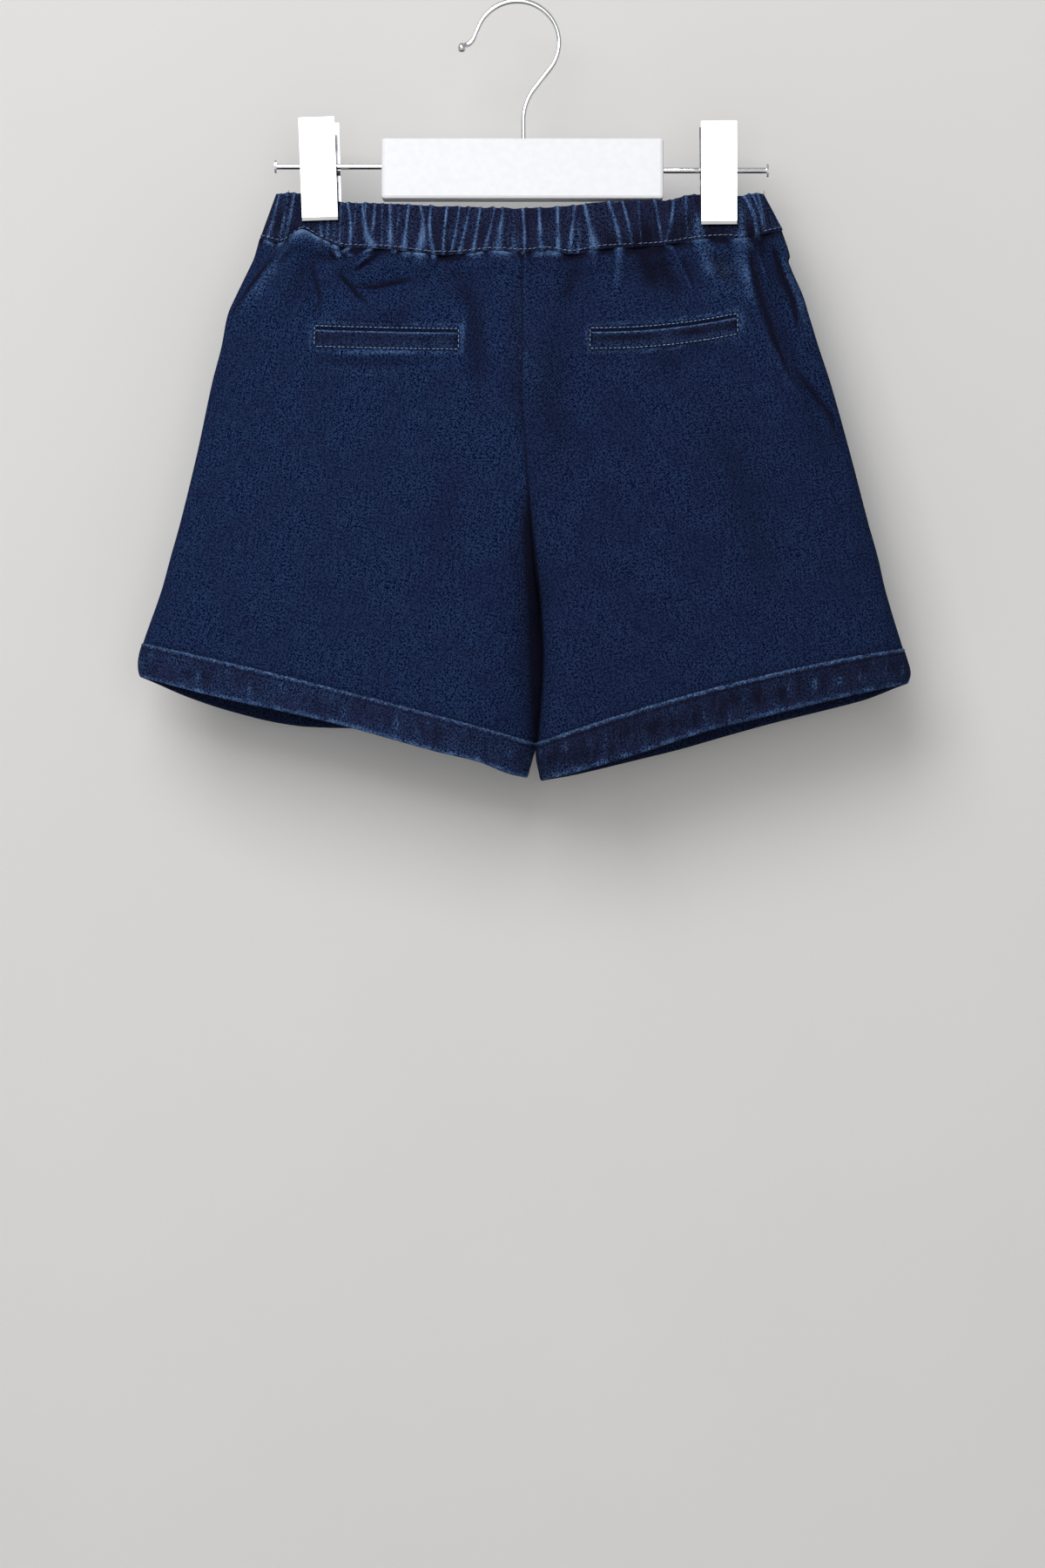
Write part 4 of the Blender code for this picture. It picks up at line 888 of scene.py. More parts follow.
THREAD_TURN = np.arange(6) * math.pi / 3  # the six corners of a thread's section


def stitches(name, lines, look, pitch, long, radius, lift, slant, closed=False, seed=1, sunk=()):
    """Thread: a short bowed bar for each stitch along each (path, outward ways) line, in millimetres.

    pitch is from stitch to stitch, long is a stitch's length, lift how high it bows and slant how far
    it leans. Between each pair of x in sunk, the back's stitches are lost in a deep fold.
    """
    random = np.random.default_rng(seed)
    found = []
    # Sections from end to end, the thread's thinner ends, and the middle one's place among them.
    share = np.array([0.0, 0.14, 0.32, 0.5, 0.68, 0.86, 1.0])
    thick = np.array([0.35, 0.8, 1.0, 1.0, 1.0, 0.8, 0.35]) * radius
    half = 3
    for path, ways in lines:
        sample, length = along_path(path, ways, closed)
        count = max(1, int(length / pitch))
        step = length / count
        starts = (np.arange(count) + 0.5) * step - long / 2 + random.normal(0, 0.05 * pitch, count)
        longs = long * (1 + random.normal(0, 0.07, count))
        point, way, ahead = sample(starts[:, None] + longs[:, None] * share)
        across = unit(np.cross(ahead, way))
        bow = lift * (np.sin(math.pi * share) ** 0.5) - 0.25 * lift
        middle = point + way * bow[None, :, None] + across * (slant * (share - 0.5))[None, :, None]
        middle = middle + across * random.normal(0, 0.04, count)[:, None, None]
        seen = np.ones(count, bool)
        for low, high in sunk:
            seen &= (middle[:, half, 0] < low) | (middle[:, half, 0] > high) | (middle[:, half, 1] > 0)
        middle, way, across = middle[seen], way[seen], across[seen]
        up, aside = way[:, :, None], across[:, :, None]
        around = up * np.cos(THREAD_TURN)[:, None] + aside * np.sin(THREAD_TURN)[:, None]
        found.append(middle[:, :, None] + around * thick[None, :, None, None])
    return round_bars(name, to_world(np.concatenate(found)), look)


def sewing_line(outer, out, levels, level, lift):
    """The row of a tube's outer points nearest to a level, lifted off it, as stitches takes it."""
    row = int(np.argmin(np.abs(levels - level)))
    return [(outer[row] + out[row] * lift, out[row])]


def frayed_ends(name, look, radius=0.2):
    """The loose thread ends, as bowed bars that start inside the waistband's top edge."""
    share = np.linspace(0.0, 1.0, 7)[:, None]
    thick = np.linspace(1.0, 0.55, 7)[:, None] * radius
    found = []
    for foot_x, foot_drop, tip_x, tip_drop, bow in FRAYED:
        x = mix(foot_x, tip_x, share) + bow * np.sin(math.pi * share) + thick * np.cos(THREAD_TURN)
        y = FRAYED_INSIDE - waist_standoff(foot_x) + thick * np.sin(THREAD_TURN)
        drop = mix(foot_drop + FRAYED_ROOT, tip_drop, share) + 0 * THREAD_TURN
        found.append(np.stack([x, y, drop], axis=-1))
    return round_bars(name, to_world(np.stack(found)), look)


# ---------------------------------------------------------------- garment pieces
def fine_shares(steps, crowd):
    """Shares from 0 to 1, closer together near both ends, with a few more right at the ends."""
    even = np.arange(steps + 1) / steps
    curved = (1 - np.cos(math.pi * even)) / 2
    shares = mix(curved, even, 1 - crowd)
    ends = np.array([0.0004, 0.0012, 0.0026])
    return np.unique(np.concatenate([shares, ends, 1 - ends]).round(6))


def wear_and_shade_shares(wear_and_highlight, deep, inner_wear, inner_deep):
    """The two shares that the denim looks read, wear with painted highlights and deep for painted shade, for
    the outer points and for all of the inner side.
    """
    return {"wear_and_highlight": (np.clip(wear_and_highlight, 0, 1), inner_wear), "deep": (np.clip(deep, 0, 1), inner_deep)}


def rolled_in(away, wide):
    """1 at a folded edge and 0 from one width away: the quarter round of the fold."""
    return 1 - np.sqrt(1 - (1 - np.clip(away / wide, 0, 1)) ** 2)


def keep_side(points, face, between):
    """The points, none nearer to the surface between front and back than the gap at the seams."""
    points = points.copy()
    points[..., 1] = between + face * np.maximum(face * (points[..., 1] - between), SIDE_GAP)
    return points


def front_puffs():
    """Rows as in BACK_PUFFS, one for each gather of the front."""
    rows = []
    for i, (_, seam, high) in enumerate(gathers(1)):
        wide, reach = 1.8 + 0.9 * math.sin(2.1 * i), 5.5 + 3.0 * math.sin(3.3 * i)
        rows.append((seam, wide, reach, 0.8 * high, 0.4 * math.sin(1.3 * i)))
    return rows


def puffs(face, seam_x, below):
    """Height of the gathered cloth's puffs below the waistband, and how much of a crest each place is."""
    rows = BACK_PUFFS if face < 0 else front_puffs()
    height = np.zeros(np.broadcast(seam_x, below).shape)
    crest = np.zeros_like(height)
    below = np.maximum(below, 0.0)
    for x, wide, reach, high, lean in rows:
        spread = wide * (1 + 0.035 * np.minimum(below, 20.0))
        share = bump(seam_x, x + lean * below, spread, 3.0) * np.exp(-((below / reach) ** 1.5))
        height = height + high * share
        crest = np.maximum(crest, share * min(high, 1.2) / 1.2)
    return height, crest


def pocket_foot(side, t):
    """The (x, drop) of a pocket's foot, t from its left end to its right one."""
    x0, drop0, x1, drop1, sag = POCKETS[side]
    return mix(x0, x1, t), mix(drop0, drop1, t) + sag * 4 * t * (1 - t)


def pocket_relief(side, x, drop):
    """The panel's form round its pocket: sunk behind the welt, and raised along the sewing.

    Also returns how sunk and how raised each place is, and the painted shadow along the welt's top.
    """
    left, right = POCKETS[side][0], POCKETS[side][2]
    long = right - left
    t = (x - left) / long
    q = pocket_foot(side, t)[1] - drop
    within = ease(t * long, -1.4, 0.6) * (1 - ease(t * long, long - 0.6, long + 1.4))
    tall = ease(q, -1.6, 0.4) * (1 - ease(q, WELT_TALL + 1.6, WELT_TALL + 3.0))
    sunk = within * tall
    away = np.maximum(np.maximum(-t * long, t * long - long), 0.0)
    high = np.maximum(np.maximum(-q, q - WELT_TALL - 2.0), 0.0)
    beside = np.hypot(away, high)
    raised = np.exp(-((beside - 2.4) / 2.0) ** 2) * (1 - sunk)
    slot = within * np.exp(-((q - WELT_TALL - 0.9) / 0.9) ** 2)
    return -0.85 * sunk + 0.35 * raised, sunk, raised, slot


def soft_form(side, face, x, drop, below):
    """Height of a panel's creases and its gentle unevenness, outwards."""
    soft = creases(face, x, drop) + 0.3 * waves(x, drop, 46.0, 3.0 + side + 2 * face)
    soft = soft + 0.5 * waves(x, drop * 0.45, 17.0, 7.0 + side) * np.exp(-below / 30.0)
    return soft + 0.22 * waves(x, drop, 13.0, 5.0 + side * face)


def make_panel(name, side, face, looks):
    """A panel as a thin shell: its form, its wear with painted highlights, and its painted shade."""
    columns, rows = PANEL_GRID[face]
    across = fine_shares(columns, 0.35)[None, :]
    even = np.arange(rows + 1) / rows
    down = (0.5 * even + 0.5 * even**2.3)[:, None]
    down = np.unique(np.concatenate([down.ravel(), [0.9972, 0.9988]]))[:, None]
    x, drop, below, seam_x = wall_place(side, face, across, down)
    width = np.abs(x[:, -1:] - x[:, :1])
    from_inner, from_side = (1 - across) * width, across * width
    to_hem = drop[-1:] - drop
    soft = soft_form(side, face, x, drop, below)
    # The puffs stand out, and the cloth dips to the waist's, the centre's and the hem's seams.
    puffed, crest = puffs(face, seam_x, below)
    detail = (
        1.3 * puffed
        - 0.9 * bump(below, 0.0, 1.1) * band_end_share(seam_x)
        - 0.75 * bump(from_inner, 0.0, 1.5) * (1 - 0.6 * leg_share(drop))
        - 0.45 * bump(to_hem, 0.0, 2.2)
    )
    slot = sunk = raised = 0.0
    if face < 0:
        relief, sunk, raised, slot = pocket_relief(side, x, drop)
        detail = detail + relief
    plain = wall_stand(side, face, across, drop, x, below, seam_x, soft)
    full = wall_stand(side, face, across, drop, x, below, seam_x, soft + detail)
    between = mid_y(side, across, drop) + 0 * x
    base = np.stack([x, between + face * plain, drop], axis=-1)
    outer = np.stack([x, between + face * full, drop], axis=-1)
    ways = inward(base, -side * face, False)
    inner = keep_side(base + ways * CLOTH, face, between)
    light, dark = tones(face, x, drop)
    fold = fold_height(face, x, drop)
    grain = waves(x, drop, 9.0, 11.0)
    # Painted shade: on the back's right panel the wear and the painted highlights are dimmer.
    lit_side_share = 1.0 if side < 0 or face > 0 else 0.55  # the back's right panel is the darker one
    on_crests = 0.85 * np.exp(-below / 2.2) + 0.5 * np.exp(-below / 8.0)
    # Pale: painted highlights with wear on the puffs' crests, the light tones and the large folds' ridges;
    # wear along the centre seam's ridge, round the pocket and at the side fold.
    wear_and_highlight = (
        crest * on_crests * (0.85 + 0.3 * grain) * lit_side_share
        + 1.25 * lit_side_share * light * (0.9 + 0.3 * grain)
        + 0.06 * np.clip(fold, 0.0, 2.5) * np.exp(-below / 60.0)
        # the centre seam's ridge
        + 0.3 * bump(from_inner, 1.6, 0.9) * np.exp(-below / 30.0) * (side > 0)
        # round the pocket, and none behind its welt
        + 0.26 * raised * (1 + 0.7 * waves(x, drop, 16.0, 2.0))
        - 0.5 * sunk
        + 0.1 * bump(from_side, 1.5, 3.0)
    )
    deep = (
        # painted shade between the puffs
        1.2 * (1 - crest) * np.exp(-((below / 3.4) ** 2))
        # painted shade along the creases, and the dark tones' broad patches
        + 1.35 * dark
        # painted shadow along the welt's top
        + 0.9 * slot
        # painted shade over the right panels
        + (0.16 if side > 0 else 0.0)
        # painted shade along the centre seam, the inseam and the hem's seam
        + 0.5 * bump(from_inner, 0.0, 1.0)
        + 0.35 * bump(to_hem, 0.0, 1.4)
    )
    shares = wear_and_shade_shares(wear_and_highlight, deep, 0.0, 0.2)
    return thick_cloth(name, outer, inner, ways, looks, False, shares, (40.0 * side, 0.0))


def band_x(face, seam_x, level):
    """Each column of the waistband leans from its place at the seam to its place at the top edge."""
    rows = gathers(face)
    seams = [BAND_ENDS_SEAM[0]] + [r[1] for r in rows] + [BAND_ENDS_SEAM[1]]
    tops = [BAND_ENDS_TOP[0]] + [r[0] for r in rows] + [BAND_ENDS_TOP[1]]
    return mix(np.interp(seam_x, seams, tops), seam_x, level)


def make_waistband(name, looks):
    """The gathered band, as a tube: along the back from left to right, and along the front back again."""
    low, high = BAND_ENDS_SEAM
    ends = np.array([0.0, 0.06, 0.22, 0.5, 0.9, 1.4, 2.0, 2.7])
    even = np.linspace(low + 3.4, high - 3.4, BAND_COLUMNS)
    seam_x = np.concatenate([low + ends, even, (high - ends)[::-1]])[None, :]
    edge = np.array([0.0, 0.006, 0.018, 0.036, 0.06])
    level = np.concatenate([edge, np.linspace(0.1, 0.86, 17), [0.9, 0.93, 0.96, 0.985, 1.0]])[:, None]
    parts = []
    for face in (-1, 1):
        x = band_x(face, seam_x, level)
        height, crest = ridges(face, seam_x, level)
        rounded = band_end_share(seam_x)
        drop = mix(smooth(WAIST, 1, seam_x), smooth(WAIST, 2, seam_x), level)
        scallop = 0.5 * waves(seam_x, 0.0 * level, 9.0, 4.0 + face) + 0.6 * crest[:1]
        drop = drop - scallop * (1 - level) ** 6 * rounded
        turned = rolled_in(level, 0.06)
        seam = np.clip((level - 0.86) / 0.14, 0, 1) ** 1.6
        sag = 0.35 * waves(seam_x, level * 18.0, 14.0, 6.0 + face)
        stand = waist_standoff(seam_x) + 0 * level
        outer_stand = stand + (height + sag * 0.6 - BAND_ROLL * turned - BAND_EDGE_PULL * seam) * rounded
        plain = np.stack([x, face * np.maximum(stand, SIDE_GAP), drop], axis=-1)
        outer = np.stack([x, face * np.maximum(outer_stand, SIDE_GAP), drop], axis=-1)
        # Worn pale in streaks along the ridges and in patches along the top edge, and darkened with painted
        # shade between them.
        grain = waves(seam_x * 2.0, level * 20.0, 13.0, 9.0 + face)
        cloudy = waves(seam_x, level * 26.0, 17.0, 19.0 + face)
        frayed = np.clip(waves(seam_x, 0 * level, 5.0, 29.0 + face), 0, 1)
        wear_and_highlight = 1.08 * streaks(face, x, level) + 0.05 * (1 + cloudy) * (0.4 + level)
        wear_and_highlight = wear_and_highlight * (1 - 0.35 * bump(level, 1.0, 0.05)) + (0.08 + 0.5 * frayed) * bump(level, 0.0, 0.045)
        deep = np.clip(0.34 + 0.3 * grain, 0, 1) * (1 - np.clip(1.6 * wear_and_highlight, 0, 1))
        if face < 0:
            for place, at, wide, tall, share in BACK_HOLLOWS:
                deep = deep + share * bump(x, place, wide) * bump(level, at, tall) * (1 - 0.6 * wear_and_highlight)
        order = slice(None) if face < 0 else slice(None, None, -1)
        parts.append([part[:, order] for part in (plain, outer, wear_and_highlight + 0 * x, deep + 0 * x, turned + 0 * x)])
    plain, outer, wear_and_highlight, deep, turned = (np.concatenate(pair, axis=1) for pair in zip(*parts))
    ways = inward(plain, -1, True)
    face_of = np.where(np.arange(plain.shape[1]) < plain.shape[1] // 2, -1, 1)[None, :]
    inner = keep_side(plain + ways * (BAND_WALL - BAND_ROLL * turned)[..., None], face_of, 0.0)
    shares = wear_and_shade_shares(wear_and_highlight, deep, 0.12, 0.3)
    made = thick_cloth(name, outer, inner, ways, looks, True, shares)
    return made, outer, -ways, level.ravel()


def make_hem(name, side, looks):
    """A tube round one leg: along the back from side to inseam, and along the front to the side again."""
    there = fine_shares(HEM_COLUMNS, 0.5)
    across = np.concatenate([there, there[::-1][1:-1]])[None, :]
    face = np.where(np.arange(across.size) < there.size, -1, 1)[None, :]
    down = np.concatenate([[0.0, 0.02, 0.05, 0.09], np.linspace(0.14, 0.86, 12), [0.91, 0.95, 0.98, 1.0]])
    down = down[:, None]
    parts = []
    for one in (-1, 1):

        def drop_at(share):
            tall = smooth(HEM_TALL[side], 1, share)
            return hem_seam_drop(side, one, share) + tall * down

        drop = drop_at(across)
        x = mix(side_x(side, drop_at(0.0)), inner_x(side, drop_at(1.0)), across)
        stand = leg_section(side, one, across) * smooth(DEPTHS, 1 if one < 0 else 2, drop)
        parts.append(np.stack([x, mid_y(side, across, drop) + one * stand, drop], axis=-1))
    grid = np.where((face < 0)[..., None], parts[0], parts[1])
    ways = inward(grid, side, True)
    x, drop = grid[..., 0], grid[..., 2]
    pucker_line = waves(x * face + 0 * drop, down * 9.0, 11.0, 12.0 + side)
    ripple = 0.5 * waves(x * face + 14.0 * down, down * 4.0, 7.5, 15.0 + side) + 0.5 * pucker_line
    turned = rolled_in(1 - down, 0.07)
    top = (1 - np.clip(down / 0.05, 0, 1)) ** 2
    proud = HEM_PROUD + 0.26 * ripple * np.sin(math.pi * down) - 0.4 * top - HEM_ROLL * turned
    outer = grid - ways * proud[..., None]
    inner = grid + ways * (HEM_WALL - HEM_PROUD - HEM_ROLL * turned + 0 * x)[..., None]
    grain = waves(x, drop, 8.0, 21.0)
    patchy = waves(x * face, drop * 0.45, 10.0, 25.0 + side)
    mottle = waves(x * face, drop * 0.22, 4.6, 35.0 + side)
    body = np.sin(math.pi * np.clip((down - 0.04) / 0.92, 0, 1))
    # Worn pale along both edges and in short slivers between them, and darkened with painted shade
    # elsewhere.
    edge = 0.045 + 0.012 * waves(x, 0 * x, 7.0, 27.0)
    # painted shade: the right hem's lower edge is less pale
    low = 0.62 if side < 0 else 0.48
    slivers = np.clip(1.7 * np.clip(mottle - 0.02, 0, 1), 0, 1)
    wear_and_highlight = (
        0.85 * bump(down, edge, 0.045) * (0.85 + 0.4 * grain)
        + low * bump(down, 0.97, 0.10 + 0.03 * grain) * (0.85 + 0.5 * grain + 0.3 * patchy)
        + body * (0.30 * slivers * (0.75 + 0.5 * patchy) + 0.2 * np.clip(patchy, 0, 1))
    )
    deep = (
        body * (0.30 + 0.6 * np.clip(-patchy, -0.2, 0.5)) * (1 - 0.8 * slivers)
        # painted shadow under the top seam
        + 0.5 * bump(down, 0.13, 0.035)
        # painted shade over the right hem
        + (0.38 if side > 0 else 0.0)
    )
    shares = wear_and_shade_shares(wear_and_highlight, deep, 0.1, 0.5)
    made = thick_cloth(name, outer, inner, ways, looks, True, shares, (70.0 * side, 300.0))
    return made, outer, -ways, down.ravel()


def panel_place_of(side, x, drop):
    """The (across, down) of places on a back panel given by x and drop, found by halving in turn."""
    across, down = np.full(x.shape, 0.5), np.full(x.shape, 0.5)
    for _ in range(7):
        low, high = np.zeros(x.shape), np.ones(x.shape)
        for _ in range(18):
            across = (low + high) / 2
            beyond = side * (wall_place(side, -1, across, down)[0] - x) > 0
            low, high = np.where(beyond, across, low), np.where(beyond, high, across)
        low, high = np.zeros(x.shape), np.ones(x.shape)
        for _ in range(18):
            down = (low + high) / 2
            above = wall_place(side, -1, across, down)[1] < drop
            low, high = np.where(above, down, low), np.where(above, high, down)
    return across, down


def back_surface(side, x, drop, out=0.0):
    """Points on a back panel's plain surface, moved out."""
    across, down = panel_place_of(side, x, drop)
    px, pd, below, seam_x = wall_place(side, -1, across, down)
    soft = soft_form(side, -1, px, pd, below)
    stand = wall_stand(side, -1, across, pd, px, below, seam_x, soft)
    return np.stack([x, -stand - out, drop], axis=-1)


def make_welt(name, side, looks):
    """The pocket's welt: a folded strip with a rolled upper edge, sewn down along its foot and its ends."""
    # t runs from its left end to its right one, and q from its upper edge to its foot.
    t = fine_shares(WELT_COLUMNS, 0.35)[None, :]
    q = np.array([0.0, 0.03, 0.08, 0.15, 0.24, 0.36, 0.5, 0.64, 0.78, 0.88, 0.95, 1.0])[:, None]
    foot_x, foot = pocket_foot(side, t)
    x = foot_x + 0 * q
    roll = 0.35 * waves(x, 0 * x, 21.0, 31.0 + side)
    drop = foot - (WELT_TALL + 0.25 * roll) * (1 - q)
    ends = np.minimum(t, 1 - t) * (foot_x[0, -1] - foot_x[0, 0])
    held = ease(ends, -0.4, 2.2)
    crown = 0.35 * np.sin(math.pi * np.clip(q * 1.05, 0, 1)) + 0.55 * bump(q, 0.1, 0.12)
    stands = 0.5 + (0.55 + crown) * held * (1 - 0.8 * ease(q, 0.84, 1.0)) + 0.12 * roll
    stands = stands * (1 - 0.5 * bump(q, 0.0, 0.03))
    outer = back_surface(side, x, drop, stands)
    # Its inner side lies in the panel's wall.
    near = np.minimum(stands - 0.35, 0.1) - 0.3
    inner = outer + np.stack([0 * x, stands - near, 0 * x], axis=-1)
    ways = np.zeros_like(outer)
    ways[..., 1] = 1.0
    grain = waves(x * 2.0, drop * 2.0, 9.0, 41.0)
    patchy = np.clip(waves(x, drop, 14.0, 33.0), 0, 1)
    wear_and_highlight = 0.8 * bump(q, 0.05, 0.07) * (0.9 + 0.4 * grain) + 0.2 * patchy * np.sin(math.pi * q)
    # Painted shade over the welt's middle, more on the right pocket, and at its sewn-down ends.
    shaded = 0.65 if side < 0 else 0.95
    deep = shaded * bump(q, 0.42, 0.3) * (0.75 + 0.5 * waves(x, drop, 24.0, 35.0)) + 0.6 * (1 - held)
    shares = wear_and_shade_shares(wear_and_highlight, deep, 0.0, 0.5)
    return thick_cloth(name, outer, inner, ways, looks, False, shares, (90.0 * side, 500.0))


def pocket_lines(side):
    """The sewing round a pocket: its foot, top and two ends, as paths on the panel with outward ways."""
    top = WELT_TALL + 2.3

    def line(ts, above_foot, out):
        x, foot = pocket_foot(side, ts)
        path = back_surface(side, x, foot - above_foot, out)
        return path, np.tile([0.0, -1.0, 0.0], (len(path), 1))

    t = np.linspace(-0.006, 1.006, 60)
    up = np.linspace(0.02, 1.0, 14)
    return [
        line(t, 0 * t - 0.35, 0.55),
        line(t, 0 * t + top, 0.42),
        line(0 * up - 0.008, up * top, 0.6),
        line(0 * up + 1.008, up * top, 0.6),
    ]


# ---------------------------------------------------------------- looks
class Weave:
    """A material's nodes, added one at a time. An input is a number, a tuple or another node's output."""

    def __init__(self, name):
        self.look = bpy.data.materials.new(name)
        self.look.use_nodes = True
        self.tree = self.look.node_tree
        self.tree.nodes.clear()

    def fill(self, node, inputs):
        """Sets each input to its value, or links it to another node's output."""
        for key, value in inputs.items():
            if isinstance(value, bpy.types.NodeSocket):
                self.tree.links.new(value, node.inputs[key])
            else:
                node.inputs[key].default_value = value

    def add(self, kind, inputs=None, out=0, **settings):
        """A shader node of that kind. Returns one of its outputs."""
        node = self.tree.nodes.new(f"ShaderNode{kind}")
        for key, value in settings.items():
            setattr(node, key, value)
        self.fill(node, inputs or {})
        return node.outputs[out]

    def math(self, operation, a, b=0.5, clamp=False):
        return self.add("Math", {0: a, 1: b}, operation=operation, use_clamp=clamp)

    def blend(self, share, a, b):
        """Colour a where the share is 0, and b where it is 1."""
        node = self.tree.nodes.new("ShaderNodeMix")
        node.data_type = "RGBA"
        self.fill(node, {0: share, 6: a, 7: b})
        return node.outputs[2]

    def step(self, value, low, high, to_low=0.0, to_high=1.0):
        """An S-curve from to_low, where the value is low, to to_high."""
        inputs = {"Value": value, "From Min": low, "From Max": high, "To Min": to_low, "To Max": to_high}
        return self.add("MapRange", inputs, interpolation_type="SMOOTHSTEP")

    def finish(self, shader):
        out = self.tree.nodes.new("ShaderNodeOutputMaterial")
        self.tree.links.new(shader, out.inputs["Surface"])
        return self.look


def rgb(red, green, blue):
    """An opaque colour, in linear light."""
    return (red, green, blue, 1.0)


def dimmed(colour, share):
    """The colour at a share of its brightness."""
    return tuple(share * channel for channel in colour[:3]) + (1.0,)


# The painted shade's colour, and the barest worn yarn's.
DEEP_SHADE, BARE_YARN = rgb(0.0042, 0.0038, 0.0100), rgb(0.14, 0.20, 0.31)


def cloth_noise(weave, place, across, along, detail=1.0, rough=0.6):
    """Noise over the cloth, so many times finer than a millimetre in each direction."""
    spread = weave.add("VectorMath", {0: place, 1: (across, along, 1.0)}, operation="MULTIPLY")
    return weave.add("TexNoise", {"Vector": spread, "Scale": 1.0, "Detail": detail, "Roughness": rough})


def denim_look(name, dark, light, pale, tint, granular=1.0, cloudy=0.35):
    """Woven denim: dark and light yarn, made pale by wear and painted highlights and darkened by painted
    shade where the cloth's two shares say so.

    tint is the colour of its soft clouds, cloudy their strength, and granular how much the yarn
    breaks up the worn places.
    """
    weave = Weave(name)
    place = weave.add("UVMap", uv_map="cloth")
    wear_and_highlight = weave.add("Attribute", {}, 2, attribute_name="wear_and_highlight")
    shade = weave.add("Attribute", {}, 2, attribute_name="deep")
    # The yarn's grain at two sizes, slubs drawn out along the yarn, and clouds a few centimetres across.
    grain = cloth_noise(weave, place, 1.75, 1.5)
    coarse = cloth_noise(weave, place, 0.88, 0.76)
    slubs = cloth_noise(weave, place, 0.7, 0.1)
    cloud = cloth_noise(weave, place, 0.05, 0.035, 2.0, 0.5)
    turned = weave.add("VectorRotate", {"Vector": place, "Angle": 1.05}, rotation_type="Z_AXIS")
    inputs = {"Vector": turned, "Scale": 0.24, "Distortion": 1.6, "Detail": 1.0, "Detail Scale": 2.0}
    twill = weave.add("TexWave", inputs, 1, wave_type="BANDS", bands_direction="X")
    yarn = weave.math("MULTIPLY", grain, 0.42)
    for layer, amount in ((coarse, 0.42), (slubs, 0.12), (twill, 0.04)):
        yarn = weave.math("ADD", yarn, weave.math("MULTIPLY", layer, amount))
    # From the yarn's two colours to the clouds, the painted shade, the places pale from wear and painted
    # highlights, and the barest yarn.
    base = weave.blend(weave.step(yarn, 0.46, 0.54), dark, light)
    clouded = weave.step(cloud, 0.42, 0.62, 0.0, cloudy)
    base = weave.blend(clouded, base, tint)
    base = weave.blend(weave.math("MULTIPLY", shade, 0.9, True), base, DEEP_SHADE)
    rough_wear = weave.math("MULTIPLY", weave.math("SUBTRACT", yarn, 0.5), 2.4 * granular)
    shown = weave.math("ADD", wear_and_highlight, weave.math("MULTIPLY", rough_wear, weave.step(wear_and_highlight, 0.02, 0.35)))
    base = weave.blend(weave.step(shown, 0.1, 1.0, 0.0, 0.95), base, pale)
    bright = weave.step(weave.math("ADD", wear_and_highlight, rough_wear), 0.6, 1.25, 0.0, 0.75)
    base = weave.blend(bright, base, BARE_YARN)
    relief = weave.add("Bump", {"Strength": 0.35, "Distance": 0.0003, "Height": yarn})
    inputs = {"Base Color": base, "Roughness": 0.95, "Specular IOR Level": 0.03, "Normal": relief}
    return weave.finish(weave.add("BsdfPrincipled", inputs))


def thread_look(name, colour, dark):
    """Sewing thread, darker between its fibres: painted shade."""
    weave = Weave(name)
    place = weave.add("TexCoord", out=3)
    fibres = weave.add("TexNoise", {"Vector": place, "Scale": 1900.0, "Detail": 1.0})
    base = weave.blend(weave.step(fibres, 0.35, 0.65), dark, colour)
    shader = weave.add("BsdfPrincipled", {"Base Color": base, "Roughness": 0.7, "Specular IOR Level": 0.3})
    return weave.finish(shader)


def chrome_look(name, tone, painted_reflection):
    """Chrome plate, with a painted dark reflection where it faces up or down."""
    weave = Weave(name)
    place = weave.add("TexCoord", out=3)
    smears = weave.add("TexNoise", {"Vector": place, "Scale": 160.0, "Detail": 2.0})
    rough = weave.step(smears, 0.3, 0.7, 0.07, 0.14)
    plate = weave.blend(weave.step(smears, 0.35, 0.65), dimmed(tone, 0.95), tone)
    # painted reflection: a dark tone where the surface faces up or down
    normal = weave.add("NewGeometry", out=1)
    facing = weave.add("SeparateXYZ", {0: normal}, 2)
    shown = weave.blend(weave.step(weave.math("ABSOLUTE", facing), 0.35, 0.95), plate, painted_reflection)
    shader = weave.add("BsdfPrincipled", {"Base Color": shown, "Metallic": 1.0, "Roughness": rough})
    return weave.finish(shader)


def paint_look(name):
    """White satin paint with a faint grain."""
    weave = Weave(name)
    place = weave.add("TexCoord", out=3)
    grain = weave.add("TexNoise", {"Vector": place, "Scale": 240.0, "Detail": 3.0})
    relief = weave.add("Bump", {"Strength": 0.12, "Distance": 0.0002, "Height": grain})
    tone = weave.blend(weave.step(grain, 0.3, 0.7), rgb(0.685, 0.69, 0.712), rgb(0.715, 0.72, 0.742))
    inputs = {"Base Color": tone, "Roughness": 0.38, "Specular IOR Level": 0.5, "Normal": relief}
    return weave.finish(weave.add("BsdfPrincipled", inputs))


def backdrop_look(name, colour):
    """A matt wall that is seen from its front only."""
    weave = Weave(name)
    place = weave.add("TexCoord", out=3)
    mottle = weave.add("TexNoise", {"Vector": place, "Scale": 5.0, "Detail": 3.0})
    tone = weave.blend(weave.step(mottle, 0.3, 0.7), dimmed(colour, 0.985), colour)
    matt = weave.add("BsdfDiffuse", {"Color": tone})
    clear = weave.add("BsdfTransparent")
    behind = weave.add("NewGeometry", out=6)
    return weave.finish(weave.add("MixShader", {0: behind, 1: matt, 2: clear}))


